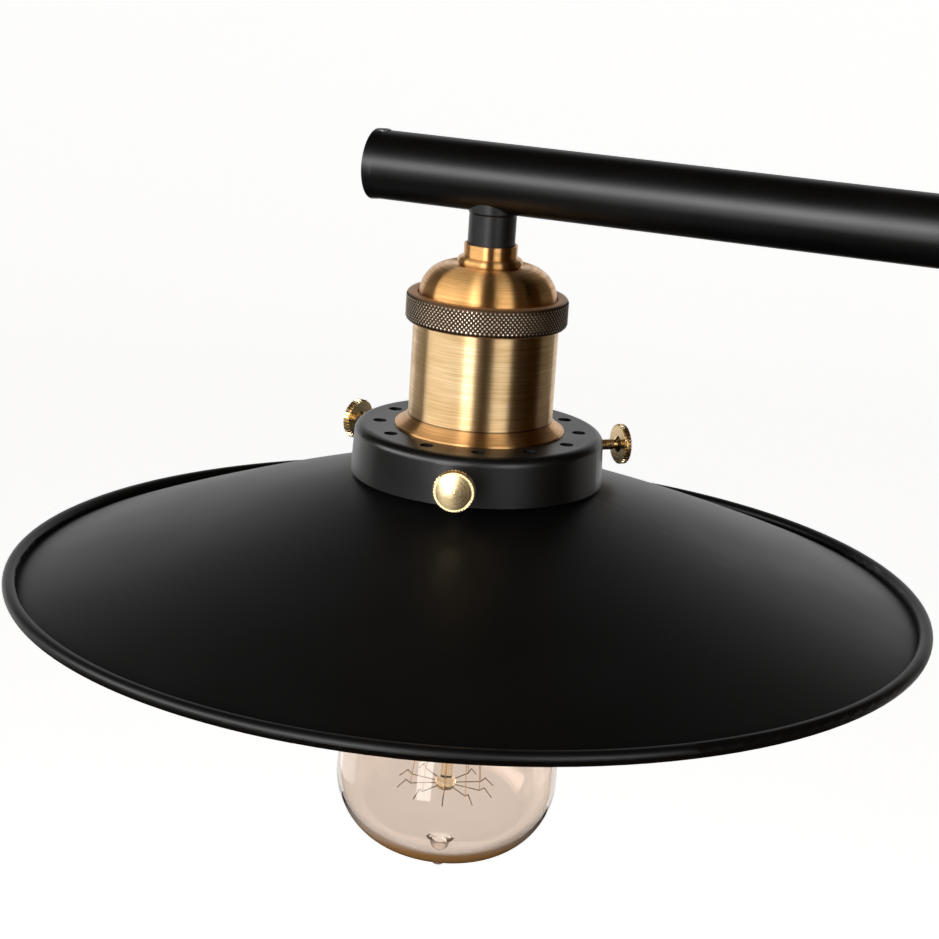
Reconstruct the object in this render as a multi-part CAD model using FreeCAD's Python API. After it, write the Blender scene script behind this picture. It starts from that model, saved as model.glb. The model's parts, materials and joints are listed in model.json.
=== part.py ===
import FreeCAD, Part
import math
import os

# Rise and fall pendant light
# A wide metal shade hangs from a brass lampholder below the end of a tube arm.
# The arm swings on the foot of a telescopic drop rod under a ceiling canopy.
# Millimetres. The ceiling is the plane z = 0 and the drop rod is the Z axis.
# At rest the arm points along -X, from the rod to the lamp.

V = FreeCAD.Vector
UP = V(0, 0, 1)

# Clearances
touch_gap = 0.05       # flat faces that slide or turn on each other
running_gap = 0.05     # radial, a shaft or tube that turns or slides in its bore
thread_gap = 0.05      # radial, between an outer thread and its inner thread
loose_gap = 0.3        # radial, between curved faces that never bear on each other
cut_over = 1.0         # how far a cutter reaches past the faces that it cuts
same_length = 1e-6     # lengths that differ by less count as equal

# Shade
shade_radius = 130.0        # over the rolled edge
shade_edge_radius = 2.0     # of the wire edge that the rim is rolled round
shade_seam_turn = 20.0      # degrees below level, where the cone's upper side meets that roll
shade_lap_turn = 60.0       # and where its lower side meets it
shade_rise = 33.0           # from the rolled edge's centre up to the neck's foot
shade_crown = 1.4           # how far the cone's side bulges above a straight line
shade_wall = 1.0
neck_radius = 31.6
neck_height = 10.8
neck_lip = 0.3              # outward lip that keeps the neck on the screws
neck_lip_height = 1.2

# Gallery, the black cap that carries the shade
gallery_height = 13.5
gallery_wall = 1.2
gallery_flare = 0.5         # how much wider its foot is than its top
gallery_gap = 1.2           # daylight between its foot and the cone
gallery_round = 2.6
gallery_neck_gap = 1.8      # radial, round the shade's neck
vent_count = 12
vent_radius = 1.9
vent_circle = 27.7
vent_turn = 20.0            # degrees, the first vent

# Brass thumbscrews of the gallery
screw_count = 3
screw_turn = -77.3          # degrees, the first screw
screw_drop = 6.8            # below the gallery's top
screw_radius = 1.5
screw_reach = 10.0          # shank, from its inner end to the disc
disc_radius = 5.7
disc_rim = 2.0
disc_cone = 1.1
tip_radius = 1.2
tip_length = 1.3
disc_bevel = 0.3            # on the edges of every thumbscrew's disc
disc_neck_share = 0.45      # of the disc's radius, where the shank flares into it
disc_neck_slope = 0.5       # length of that flare, as a share of its radius

# Lampholder, from the foot up
barrel_radius = 20.05
barrel_wall = 1.15
barrel_show = 29.8          # from the gallery up to the ring
skirt_radius = 23.5
skirt_height = 3.4
skirt_edge = 0.5
skirt_bend = (0.42, 0.46)   # where its curve passes, as shares of its width and height
ring_radius = 22.4
ring_height = 7.8
ring_lip = 1.4
ring_chamfer = 0.5
cap_radius = 18.9
cap_wall = 1.0
cap_rise = 8.0              # from the ring's top to the cap's flat top
cap_bend = (0.79, 0.67)     # where its dome passes, as shares of its width and rise
cap_flange_step = 0.1       # its flange ends this far inside the barrel's outside
cap_flat_step = 0.3         # its flat ends this far inside the bead
bead_radius = 9.0
bead_height = 2.3
bead_shoulder = 1.05        # its flat faces end this far inside its round
cup_radius = 7.35
cup_wall = 0.6
cup_height = 3.6
cup_step = 0.2              # groove between the bead and the cup
bush_flange = 1.4           # how far its flange stands past the barrel's bore
bush_flange_height = 1.8
bush_grip = 6.0             # thread inside the barrel
bush_tail = 3.0             # below the flange
bush_wall = 2.4

# Ceramic insert and contacts
insert_floor_rise = 15.1    # from the gallery's top to the floor of the screw shell's bore
insert_web = 13.0
insert_tail = 5.4           # how far the spigot reaches below the gallery's top
shell_tail = 1.0            # how far the screw shell reaches below the spigot
shell_radius = 14.2
shell_wall = 0.4
thread_pitch = 3.62
thread_depth = 0.5
shell_mouth = 5.0           # radius of the hole in the screw shell's top
contact_size = (7.0, 4.0)
contact_thick = 0.5
contact_rivet_radius = 1.5
contact_head_radius = 2.25
contact_rivet_head = 0.8
terminal_spread = 4.6       # from the axis to each terminal screw
terminal_radius = 1.8
terminal_height = 3.0

# Bulb
bulb_length = 141.3         # from the contact button down to the glass's lowest round
bulb_radius = 31.8
bulb_depth = 23.7           # from the widest place to the lowest
bulb_shoulder = 22.4
bulb_upper_bend = 60.0
bulb_taper = 13.0           # degrees, of the straight side
bulb_neck_radius = 14.0
glass_wall = 0.8
glass_foot_wall = 2.4       # round the pip, where the glass gathers
glass_in_cap = 5.0
glass_shoulder = 1.5        # height over which the neck narrows into the cap
pip_radius = 3.0
pip_length = 5.6
pip_tip = (0.62, 0.86)      # where its round end passes, as shares of its radius and length
pip_side = (0.92, 0.5)      # and where that ends
pip_root = 1.4              # radius where it leaves the glass, as a share of its own
bulb_lean = 1.9             # degrees, the glass sits a little askew in its cap
bulb_lean_turn = 185.0      # degrees, the way its foot leans
cap_shell_radius = 13.1
cap_shell_wall = 0.3
cap_shell_length = 23.0
cap_thread_length = 15.0
cap_lid_hole = 5.5          # radius of the hole in the cap's top
insulator_height = 2.6
insulator_radius = 10.5     # at its foot
insulator_lip = 0.8         # how far it stands out round the button
button_radius = 4.0
button_height = 1.3
button_side = 0.4           # height of its straight side, as a share of its own
button_bend = (0.85, 0.8)   # where its round passes, as shares of its radius and height
button_flat = 0.5           # radius of its flat top, as a share of its own
mount_rod_radius = 1.7
mount_length = 24.0         # of the glass foot in the bulb's neck
mount_press = (4.5, 4.0)    # radius and height of its pressed end
mount_waist = (5.0, 16.8)   # radius and height where it starts to widen
hub_radius = 3.1
hub_half_height = 1.8
hub_rise = 20.3             # above the glass's lowest round
hook_count = 10
hook_reach = 14.4
hook_tail = 3.9             # from each wire's valley to its tip, along the radius
hook_kink = 1.4             # from the valley to the peak, along the radius
hook_lift = 1.1             # of the peak over the hub
hook_end_drop = 1.3         # of the tip under it
hook_radius = 0.16
top_hook_reach = 9.0
top_hub_rise = 78.0
filament_radius = 0.1
filament_gap = 0.4          # from the strands to the hooks' valleys
feed_radius = 0.4
feed_start = 2.4            # below the mouth's rim, where they leave the pressed glass
feed_stand = 1.4            # their top stands this far off the rod
feed_drop = 0.8             # their foot ends this far under the top hub
feed_past = 1.5             # and this far outside the top hooks' tips

# Stem and arm
stem_radius = 6.5
stem_show = 8.6             # from the cup's lip to the bar's underside
stem_weld = 0.3             # how far the weld at the bar stands out
thread_radius = 5.0         # of every hollow threaded tube
nipple_bore = 4.0
nipple_show = 1.0           # past the last nut, and short of the bar or the ceiling
hex_nut_flats = 14.0
hex_nut_height = 4.5
lock_washer_height = 0.8
lock_washer_radius = 7.4
bar_radius = 9.5
bar_wall = 1.2
bar_overhang = 35.7         # past the lamp's axis
bar_plug_depth = 10.0
bar_plug_head = 3.0
bar_plug_round = 0.5
bar_plug_proud = 0.25       # its head is this much larger in radius than the bar
arm_reach = 240.0           # from the rod's axis to the lamp's axis

# Swivel knuckle
knuckle_radius = 15.0
knuckle_wall = 3.5
knuckle_web = 5.0           # its top
knuckle_drop = 22.0         # from its top to the bar's axis
knuckle_foot = 19.0         # from the bar's axis to its foot
boss_wall = 4.0             # round the bar
boss_reach = 27.0           # from the rod's axis
bar_grip = 15.0             # length of bar inside the boss
grub_radius = 2.0
grub_sink = 0.4             # below the boss, and above the bar
grub_socket = 1.0
cover_height = 2.0
cover_spigot = 5.0
cover_round = 1.2
connector_size = (10.0, 14.0)
connector_roof = 2.25       # above the leads
lead_grip = 3.0             # of each lead in the connector
swing_limit = 160.0         # degrees each way
stop_pin_radius = 1.5
stop_pin_circle = 9.6
stop_pin_grip = 2.5
stop_pin_reach = 2.8
stop_pin_gap = 0.5
friction_washer_height = 1.0
thrust_washer_height = 1.2
thrust_washer_radius = 9.0
spindle_bore = 3.2
spindle_tail = 1.0
swivel_nut_flats = 16.0
lead_radius = 0.9
lead_spread = 1.4           # from the tube's axis to each lead
lead_bend = 8.0
lead_bend_low = 4.0         # of the bends by the terminals
lead_rise = 2.8             # above the terminals, before each lead bends in
lead_slope = 9.5            # height over which it comes in to the nipple

# Drop rod
travel_up = 90.0
travel_down = 130.0
rod_show_least = 20.0       # bare rod when the lamp is fully up
rod_overlap = 60.0          # of the two tubes when the lamp is fully down
rod_head_room = 8.0
outer_tube_radius = 11.0
outer_tube_wall = 1.5
inner_tube_radius = 8.0
inner_tube_wall = 1.2
upper_bush_length = 12.0
upper_bush_lip = 1.5
lower_bush_length = 16.0
lower_bush_flange = 1.5
lower_bush_wall = 1.5
lower_bush_step = 1.5       # its flange ends this far inside the collar's outside
collar_grip = 14.0
collar_wall = 5.0
collar_round = 1.2
plug_length = 18.0
plug_flange_radius = 13.0
plug_flange_height = 4.0
plug_flange_round = 0.8
limit_pin_radius = 2.0
limit_head_radius = 3.4
limit_head_height = 2.2
slot_gap = 0.2
pad_radius = 2.6
pad_length = 1.8
pad_travel = 1.6            # two turns of its screw
clamp_radius = 2.5
clamp_show = 6.0            # bare shank between the collar and the disc
clamp_disc_radius = 8.0
clamp_disc_rim = 3.0
clamp_disc_cone = 1.4

# Ceiling fixing
canopy_radius = 55.0
canopy_depth = 28.0
canopy_wall = 1.2
canopy_round = 8.0
strap_width = 22.0
strap_thick = 2.0
strap_ear = 13.0
strap_hole_spacing = 70.0
strap_hole_radius = 2.6
canopy_screw_radius = 2.0
canopy_screw_head = 4.0
canopy_screw_face = 2.4     # height of the head over the canopy
canopy_screw_length = 6.0
canopy_screw_drop = 8.5
coupler_wall = 3.5
coupler_web = 6.0
coupler_grip = 14.0
coupler_round = 1.2
block_size = (17.0, 24.0, 12.0)
block_offset = 11.0         # from the rod's axis to its near side
block_poles = 3
block_screw_radius = 1.8
block_screw_length = 3.7
block_screw_sink = 0.5
block_tunnel_radius = 2.2
block_tunnel_drop = 7.2     # from the block's top to its wire tunnels
earth_offset = 20.0
earth_radius = 2.0
earth_head = 4.2
earth_head_height = 2.2


# Shaping helpers

def rod(radius, start, direction, length):
    return Part.makeCylinder(radius, length, start, direction)


def disc(radius, low, high, x=0.0, y=0.0):
    """Upright cylinder between two heights."""
    return rod(radius, V(x, y, low), UP, high - low)


def ring(inner, outer, low, high, x=0.0, y=0.0):
    """Upright tube between two heights."""
    return disc(outer, low, high, x, y).cut(disc(inner, low - cut_over, high + cut_over, x, y))


def block(x0, x1, y0, y1, z0, z1):
    return Part.makeBox(x1 - x0, y1 - y0, z1 - z0, V(x0, y0, z0))


def turned(outline):
    """Solid turned about the Z axis.

    The outline goes round in (radius, height) points. An item of four numbers
    is an arc: the point it passes through, then the point it ends at.
    """
    spots = [V(item[-2], 0, item[-1]) for item in outline]
    edges = []
    for index, item in enumerate(outline):
        start = spots[index - 1]
        end = spots[index]
        if len(item) == 4:
            edges.append(Part.Arc(start, V(item[0], 0, item[1]), end).toShape())
        elif start.distanceToPoint(end) > same_length:
            edges.append(Part.LineSegment(start, end).toShape())
    face = Part.Face(Part.Wire(edges))
    solid = face.revolve(V(0, 0, 0), UP, 360)
    if solid.Volume < 0:
        solid.reverse()
    return Part.Solid(solid.Shells[0]) if solid.ShapeType != "Solid" else solid


def hex_nut(flats, bore, low, high):
    corner = flats / math.sqrt(3)
    spots = [around(60 * k) * corner + V(0, 0, low) for k in range(7)]
    body = Part.Face(Part.makePolygon(spots)).extrude(V(0, 0, high - low))
    return body.cut(disc(bore, low - cut_over, high + cut_over))


def round_edges(body, radius, level=None):
    """Level round edges of one radius, at one height where it is given."""
    found = []
    for edge in body.Edges:
        if not isinstance(edge.Curve, Part.Circle) or abs(edge.Curve.Axis.z) < 0.999:
            continue
        if abs(edge.Curve.Radius - radius) > same_length:
            continue
        if level is None or abs(edge.Curve.Center.z - level) < same_length:
            found.append(edge)
    return found


def around(angle):
    """Unit vector in the XY plane at an angle in degrees."""
    return V(math.cos(math.radians(angle)), math.sin(math.radians(angle)), 0)


def bent_rod(radius, spots, bend):
    """Round rod along straight runs joined by tangent arcs."""
    edges = []
    last = spots[0]
    for before, corner, after in zip(spots, spots[1:], spots[2:]):
        back = (before - corner).normalize()
        ahead = (after - corner).normalize()
        half_turn = (math.pi - back.getAngle(ahead)) / 2
        reach = bend * math.tan(half_turn)
        entry = corner + back * reach
        leave = corner + ahead * reach
        middle = (back + ahead).normalize()
        centre = corner + middle * (bend / math.cos(half_turn))
        edges.append(Part.LineSegment(last, entry).toShape())
        edges.append(Part.Arc(entry, centre - middle * bend, leave).toShape())
        last = leave
    edges.append(Part.LineSegment(last, spots[-1]).toShape())
    circle = Part.Wire(Part.makeCircle(radius, spots[0], spots[1] - spots[0]))
    return Part.Wire(edges).makePipeShell([circle], True, True)


def waved_shell(outer, wall, low, high):
    """Thin shell whose side is pressed into rounded thread turns."""
    turns = max(1, int((high - low) / thread_pitch))
    start = (high + low - turns * thread_pitch) / 2
    outline = [(outer - wall, low), (outer, low), (outer, start)]
    for k in range(turns):
        foot = start + k * thread_pitch
        outline.append((outer - thread_depth, foot + thread_pitch / 2, outer, foot + thread_pitch))
    outline.append((outer, high))
    outline.append((outer - wall, high))
    outline.append((outer - wall, start + turns * thread_pitch))
    for k in reversed(range(turns)):
        foot = start + k * thread_pitch
        outline.append((outer - wall - thread_depth, foot + thread_pitch / 2, outer - wall, foot))
    return outline


# The cone's side is an arc through three points
edge_circle = shade_radius - shade_edge_radius
seam_radius = edge_circle - shade_edge_radius * math.cos(math.radians(shade_seam_turn))
seam_height = -shade_edge_radius * math.sin(math.radians(shade_seam_turn))
middle_radius = (neck_radius + seam_radius) / 2
middle_height = (shade_rise + seam_height) / 2 + shade_crown


def cone_height(radius):
    """Height of the cone's upper side above the rolled edge's centre."""
    side = Part.Arc(V(neck_radius, 0, shade_rise), V(middle_radius, 0, middle_height),
                    V(seam_radius, 0, seam_height)).toShape().Curve
    centre = side.Center
    return centre.z + math.sqrt(side.Radius ** 2 - (radius - centre.x) ** 2)


# Heights in the lamp's own frame, above the rolled edge's centre
neck_top = shade_rise + neck_height
gallery_radius = neck_radius + gallery_neck_gap + gallery_wall
gallery_foot_radius = gallery_radius + gallery_flare
gallery_foot = cone_height(gallery_foot_radius) + gallery_gap
gallery_top = gallery_foot + gallery_height
screw_height = gallery_top - screw_drop
ring_low = gallery_top + barrel_show
ring_high = ring_low + ring_height
barrel_bore = barrel_radius - barrel_wall
barrel_top = ring_high - ring_lip - touch_gap - cap_wall
cap_top = ring_high + cap_rise
bead_top = cap_top + bead_height
cup_top = bead_top + cup_height
bar_height = cup_top + stem_show + bar_radius
bush_radius = barrel_bore - thread_gap
bush_bore = bush_radius - bush_wall
bush_low = gallery_top - gallery_wall - bush_flange_height
bush_top = gallery_top + bush_grip
insert_floor = gallery_top + insert_floor_rise
insert_top = insert_floor + insert_web
insert_foot = gallery_top - insert_tail
insert_bore = shell_radius + thread_gap
shell_foot = insert_foot - shell_tail
button_top = insert_floor - shell_wall - contact_thick - loose_gap
glass_low = button_top - bulb_length
cap_shell_top = button_top - button_height - insulator_height
cap_shell_foot = cap_shell_top - cap_shell_length
glass_top = cap_shell_foot + glass_in_cap
hub_height = glass_low + hub_rise
top_hub_height = glass_low + top_hub_rise

# Heights in the part's frame, below the ceiling
outer_tube_length = rod_overlap + travel_down + travel_up + upper_bush_length + rod_head_room
outer_tube_high = -canopy_depth - coupler_web
outer_tube_low = outer_tube_high - outer_tube_length
outer_tube_bore = outer_tube_radius - outer_tube_wall
collar_radius = outer_tube_radius + collar_wall
collar_high = outer_tube_low + collar_grip
collar_low = outer_tube_low - lower_bush_length
clamp_height = (outer_tube_low + collar_low) / 2
lower_bush_bore = inner_tube_radius + running_gap
lower_bush_radius = lower_bush_bore + lower_bush_wall
plug_top = collar_low - lower_bush_flange - rod_show_least - travel_up
inner_tube_high = outer_tube_low + rod_overlap + travel_down + upper_bush_length
inner_tube_bore = inner_tube_radius - inner_tube_wall
plug_low = plug_top - plug_flange_height
knuckle_top = plug_low - friction_washer_height - 2 * touch_gap
knuckle_bore = knuckle_radius - knuckle_wall
bar_axis = knuckle_top - knuckle_drop
knuckle_low = bar_axis - knuckle_foot
spindle_seat = knuckle_top - knuckle_web - touch_gap
swivel_nut_high = spindle_seat - thrust_washer_height
swivel_nut_low = swivel_nut_high - hex_nut_height
bar_end = -(boss_reach - bar_grip)
boss_radius = bar_radius + boss_wall
lamp_x = -arm_reach
lamp_z = bar_axis - bar_height


def at_lamp(shape):
    """Moves a piece from the lamp's own frame into the part's frame."""
    moved = shape.copy()
    moved.translate(V(lamp_x, 0, lamp_z))
    return moved


# Ceiling fixing

def make_ceiling_bracket():
    """Strap against the ceiling, with ears bent down for the canopy's screws."""
    reach = canopy_radius - canopy_wall - loose_gap
    below = -strap_thick - cut_over
    strap = block(-reach, reach, -strap_width / 2, strap_width / 2, -strap_thick, 0)
    for side in (-1, 1):
        inner = side * (reach - strap_thick)
        outer = side * reach
        ear = block(min(inner, outer), max(inner, outer), -strap_width / 2, strap_width / 2, -strap_ear, 0)
        strap = strap.fuse(ear)
        hole = rod(canopy_screw_radius + thread_gap, V(inner, 0, -canopy_screw_drop), V(side, 0, 0), reach)
        strap = strap.cut(hole)
        strap = strap.cut(disc(strap_hole_radius, below, cut_over, side * strap_hole_spacing / 2))
    strap = strap.common(disc(reach, -strap_ear, 0))
    strap = strap.cut(disc(thread_radius + thread_gap, below, cut_over))
    strap = strap.cut(disc(earth_radius + thread_gap, below, cut_over, -earth_offset))
    return strap.removeSplitter()


def make_canopy():
    """Round cover, open to the ceiling, with a hole for the nipple."""
    lean = canopy_round * (1 - math.cos(math.radians(45)))
    inner_round = canopy_round - canopy_wall
    inner_lean = inner_round * (1 - math.cos(math.radians(45)))
    bore = canopy_radius - canopy_wall
    floor = -canopy_depth + canopy_wall
    hole = thread_radius + thread_gap
    rim = -touch_gap
    cup = turned([
        (hole, -canopy_depth),
        (canopy_radius - canopy_round, -canopy_depth),
        (canopy_radius - lean, -canopy_depth + lean, canopy_radius, -canopy_depth + canopy_round),
        (canopy_radius, rim),
        (bore, rim),
        (bore, floor + inner_round),
        (bore - inner_lean, floor + inner_lean, bore - inner_round, floor),
        (hole, floor),
    ])
    for side in (-1, 1):
        cup = cup.cut(rod(canopy_screw_radius + thread_gap, V(side * bore / 2, 0, -canopy_screw_drop),
                          V(side, 0, 0), bore))
    return cup


def make_canopy_screws():
    screws = []
    for side in (-1, 1):
        seat = V(side * canopy_radius, 0, -canopy_screw_drop)
        shank = rod(canopy_screw_radius, seat, V(-side, 0, 0), canopy_screw_length)
        head = Part.makeSphere(canopy_screw_head, seat)
        inner = block(-canopy_radius, canopy_radius, -canopy_radius, canopy_radius, -canopy_depth, 0)
        outer = rod(canopy_screw_head, seat + V(side * canopy_screw_face, 0, 0), V(side, 0, 0),
                    canopy_screw_head)
        screws.append(head.cut(inner).cut(outer).fuse(shank).removeSplitter())
    return Part.makeCompound(screws)


def make_nipple_nuts():
    """One nut locks the nipple to the strap, the other holds the canopy down."""
    bore = thread_radius + thread_gap
    upper = hex_nut(hex_nut_flats, bore, -strap_thick - hex_nut_height, -strap_thick)
    floor = -canopy_depth + canopy_wall
    lower = hex_nut(hex_nut_flats, bore, floor, floor + hex_nut_height)
    return Part.makeCompound([upper, lower])


def make_terminal_block():
    """Moulded block under the strap that joins the supply to the lamp's flex."""
    length, width, height = block_size
    high = -strap_thick
    low = high - height
    body = block(block_offset, block_offset + length, -width / 2, width / 2, low, high)
    pole = width / block_poles
    for k in range(block_poles):
        y = -width / 2 + pole * (k + 0.5)
        tunnel = rod(block_tunnel_radius, V(0, y, high - block_tunnel_drop), V(1, 0, 0),
                     block_offset + length + cut_over)
        body = body.cut(tunnel)
        body = body.cut(disc(block_screw_radius + thread_gap, low - cut_over, high - block_tunnel_drop,
                             block_offset + length / 2, y))
    return body


def make_block_screws():
    length, width, height = block_size
    low = -strap_thick - height
    pole = width / block_poles
    x = block_offset + length / 2
    return Part.makeCompound([
        disc(block_screw_radius, low + block_screw_sink, low + block_screw_sink + block_screw_length,
             x, -width / 2 + pole * (k + 0.5))
        for k in range(block_poles)])


def make_earth_screw():
    """Screw through the strap, with its head below."""
    head = disc(earth_head, -strap_thick - earth_head_height, -strap_thick, -earth_offset)
    return head.fuse(disc(earth_radius, -strap_thick, -loose_gap, -earth_offset))


def make_coupler():
    """Turned socket that joins the nipple to the outer tube."""
    outer = outer_tube_radius + coupler_wall
    low = outer_tube_high - coupler_grip
    body = disc(outer, low, -canopy_depth).cut(disc(thread_radius + thread_gap, low - cut_over, 0))
    body = body.cut(disc(outer_tube_radius, low - cut_over, outer_tube_high))
    return body.makeFillet(coupler_round, round_edges(body, outer, low))


# Drop rod

def make_lower_bush():
    """Slippery bush at the mouth of the outer tube, pierced for the pad and the pin."""
    body = ring(lower_bush_bore, lower_bush_radius, collar_low, outer_tube_low)
    flange_radius = collar_radius - lower_bush_step
    body = body.fuse(ring(lower_bush_bore, flange_radius, collar_low - lower_bush_flange, collar_low))
    body = body.cut(rod(pad_radius + running_gap, V(0, 0, clamp_height), V(0, -1, 0), collar_radius))
    body = body.cut(rod(limit_pin_radius + running_gap, V(0, 0, clamp_height), V(0, 1, 0), collar_radius))
    return body.removeSplitter()


def make_clamp_collar():
    body = disc(collar_radius, collar_low, collar_high)
    body = body.cut(disc(outer_tube_radius, outer_tube_low, collar_high + cut_over))
    body = body.cut(disc(lower_bush_radius, collar_low - cut_over, outer_tube_low + cut_over))
    body = body.cut(rod(limit_pin_radius + thread_gap, V(0, 0, clamp_height), V(0, 1, 0), 2 * collar_radius))
    pad_end = lower_bush_radius + pad_length + pad_travel + touch_gap
    body = body.cut(rod(pad_radius + running_gap, V(0, 0, clamp_height), V(0, -1, 0), pad_end))
    body = body.cut(rod(clamp_radius + thread_gap, V(0, 0, clamp_height), V(0, -1, 0), 2 * collar_radius))
    return body.makeFillet(collar_round, round_edges(body, collar_radius))


def make_limit_pin():
    """Screw through the collar whose plain end runs in the inner tube's slot."""
    pin_end = inner_tube_bore
    length = collar_radius - pin_end
    shank = rod(limit_pin_radius, V(0, pin_end, clamp_height), V(0, 1, 0), length)
    head = rod(limit_head_radius, V(0, collar_radius, clamp_height), V(0, 1, 0), limit_head_height)
    return shank.fuse(head)


def make_inner_tube():
    """Drop tube with the long slot that keys it and limits its travel."""
    body = ring(inner_tube_bore, inner_tube_radius, plug_top, inner_tube_high - upper_bush_lip)
    half = limit_pin_radius + slot_gap
    low = clamp_height - travel_up
    high = clamp_height + travel_down
    depth = inner_tube_radius + cut_over
    slot = block(-half, half, 0, depth, low, high)
    for end in (low, high):
        slot = slot.fuse(rod(half, V(0, 0, end), V(0, 1, 0), depth))
    return body.cut(slot)


def make_upper_bush():
    """Guide ring on top of the inner tube, running in the outer tube."""
    outer = outer_tube_bore - running_gap
    low = inner_tube_high - upper_bush_length
    body = ring(inner_tube_radius, outer, low, inner_tube_high)
    lip = ring(inner_tube_bore, outer, inner_tube_high - upper_bush_lip, inner_tube_high)
    return body.fuse(lip).removeSplitter()


def make_tube_plug():
    """Plug pressed into the tube's foot, with the flange that the knuckle hangs under."""
    body = disc(inner_tube_bore, plug_top, plug_top + plug_length)
    body = body.fuse(disc(plug_flange_radius, plug_low, plug_top))
    body = body.cut(disc(thread_radius, plug_low - cut_over, plug_top + plug_length + cut_over))
    body = body.cut(disc(stop_pin_radius, plug_low - cut_over, plug_low + stop_pin_grip, stop_pin_circle))
    return body.makeFillet(plug_flange_round, round_edges(body, plug_flange_radius))


def make_stop_pin():
    low = plug_low - friction_washer_height - stop_pin_reach
    return disc(stop_pin_radius, low, plug_low + stop_pin_grip, stop_pin_circle)


def make_friction_washer():
    outer = stop_pin_circle - stop_pin_radius - loose_gap
    low = plug_low - friction_washer_height - touch_gap
    return ring(thread_radius + thread_gap, outer, low, plug_low - touch_gap)


# Clamp of the drop rod

def make_clamp_pad():
    """Soft pad that the clamp screw presses on the inner tube."""
    inner = inner_tube_radius + touch_gap
    length = lower_bush_radius + pad_length - touch_gap
    body = rod(pad_radius, V(0, 0, clamp_height), V(0, -1, 0), length)
    return body.cut(disc(inner, clamp_height - 2 * pad_radius, clamp_height + 2 * pad_radius))


def thumbscrew(start, direction, radius, length, head_radius, rim, cone):
    """Round screw with a flat disc whose face rises to a low cone."""
    neck = head_radius * disc_neck_share
    face = length + rim
    profile = turned([
        (0, 0),
        (radius, 0),
        (radius, length - neck * disc_neck_slope),
        (neck, length),
        (head_radius - disc_bevel, length),
        (head_radius, length + disc_bevel),
        (head_radius, face - disc_bevel),
        (head_radius - disc_bevel, face),
        (0, face + cone),
    ])
    turn = FreeCAD.Rotation(UP, direction)
    profile.Placement = FreeCAD.Placement(start, turn)
    return profile


def make_clamp_screw():
    inner = lower_bush_radius + pad_length
    length = collar_radius - inner + clamp_show
    return thumbscrew(V(0, -inner, clamp_height), V(0, -1, 0), clamp_radius, length,
                      clamp_disc_radius, clamp_disc_rim, clamp_disc_cone)


# Swivel knuckle and arm

def make_knuckle():
    """Cast knuckle that turns under the drop rod and holds the end of the bar."""
    body = disc(knuckle_radius, knuckle_low, knuckle_top)
    body = body.fuse(rod(boss_radius, V(0, 0, bar_axis), V(-1, 0, 0), boss_reach))
    body = body.cut(disc(knuckle_bore, knuckle_low - cut_over, knuckle_top - knuckle_web))
    body = body.cut(disc(thread_radius + running_gap, knuckle_low, knuckle_top + cut_over))
    body = body.cut(rod(bar_radius, V(bar_end, 0, bar_axis), V(-1, 0, 0), bar_grip + cut_over))
    body = body.cut(rod(bar_radius - bar_wall, V(0, 0, bar_axis), V(-1, 0, 0), boss_reach))
    channel = stop_pin_radius + loose_gap
    pin_angle = math.degrees(math.asin((stop_pin_radius + stop_pin_gap) / stop_pin_circle))
    sweep = 2 * (swing_limit + pin_angle)
    floor = knuckle_top - stop_pin_reach - loose_gap
    track = Part.makeCylinder(stop_pin_circle + channel, 2 * knuckle_web, V(0, 0, floor), UP, sweep)
    track = track.cut(disc(stop_pin_circle - channel, floor - cut_over, floor + 3 * knuckle_web))
    track.rotate(V(0, 0, 0), UP, -sweep / 2)
    body = body.cut(track)
    for seat, direction in grub_places():
        body = body.cut(rod(grub_radius + thread_gap, seat, direction, 2 * boss_wall))
    return body.removeSplitter()


def grub_places():
    """Where each grub screw meets the bar, and which way it points out."""
    x = bar_end - bar_grip / 2
    return [(V(x, bar_radius, bar_axis), V(0, 1, 0)), (V(x, 0, bar_axis - bar_radius), V(0, 0, -1))]


def make_grub_screws():
    screws = []
    for seat, direction in grub_places():
        body = rod(grub_radius, seat + direction * grub_sink, direction, boss_wall - 2 * grub_sink)
        socket_floor = seat + direction * (boss_wall - grub_sink - grub_socket)
        socket = rod(grub_radius / 2, socket_floor, direction, boss_wall)
        screws.append(body.cut(socket))
    return Part.makeCompound(screws)


def make_spindle():
    """Hollow threaded spindle that carries the knuckle on its nut."""
    high = plug_top + plug_length
    low = swivel_nut_low - spindle_tail
    return ring(spindle_bore, thread_radius, low, high)


def make_thrust_washer():
    return ring(thread_radius + thread_gap, thrust_washer_radius, swivel_nut_high, spindle_seat)


def make_swivel_nut():
    return hex_nut(swivel_nut_flats, thread_radius, swivel_nut_low, swivel_nut_high)


def make_knuckle_cover():
    body = disc(knuckle_radius, knuckle_low - cover_height, knuckle_low)
    body = body.fuse(disc(knuckle_bore, knuckle_low, knuckle_low + cover_spigot))
    return body.makeFillet(cover_round, round_edges(body, knuckle_radius, knuckle_low - cover_height))


def make_connector():
    """Small terminal block in the knuckle, where the lamp's leads end."""
    depth, width = connector_size
    high = bar_axis + connector_roof
    body = block(-depth / 2, depth / 2, -width / 2, width / 2, knuckle_low + cover_spigot, high)
    for y in (-lead_spread, lead_spread):
        body = body.cut(rod(lead_radius + thread_gap, V(-depth, y, bar_axis), V(1, 0, 0), depth))
    return body


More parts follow.
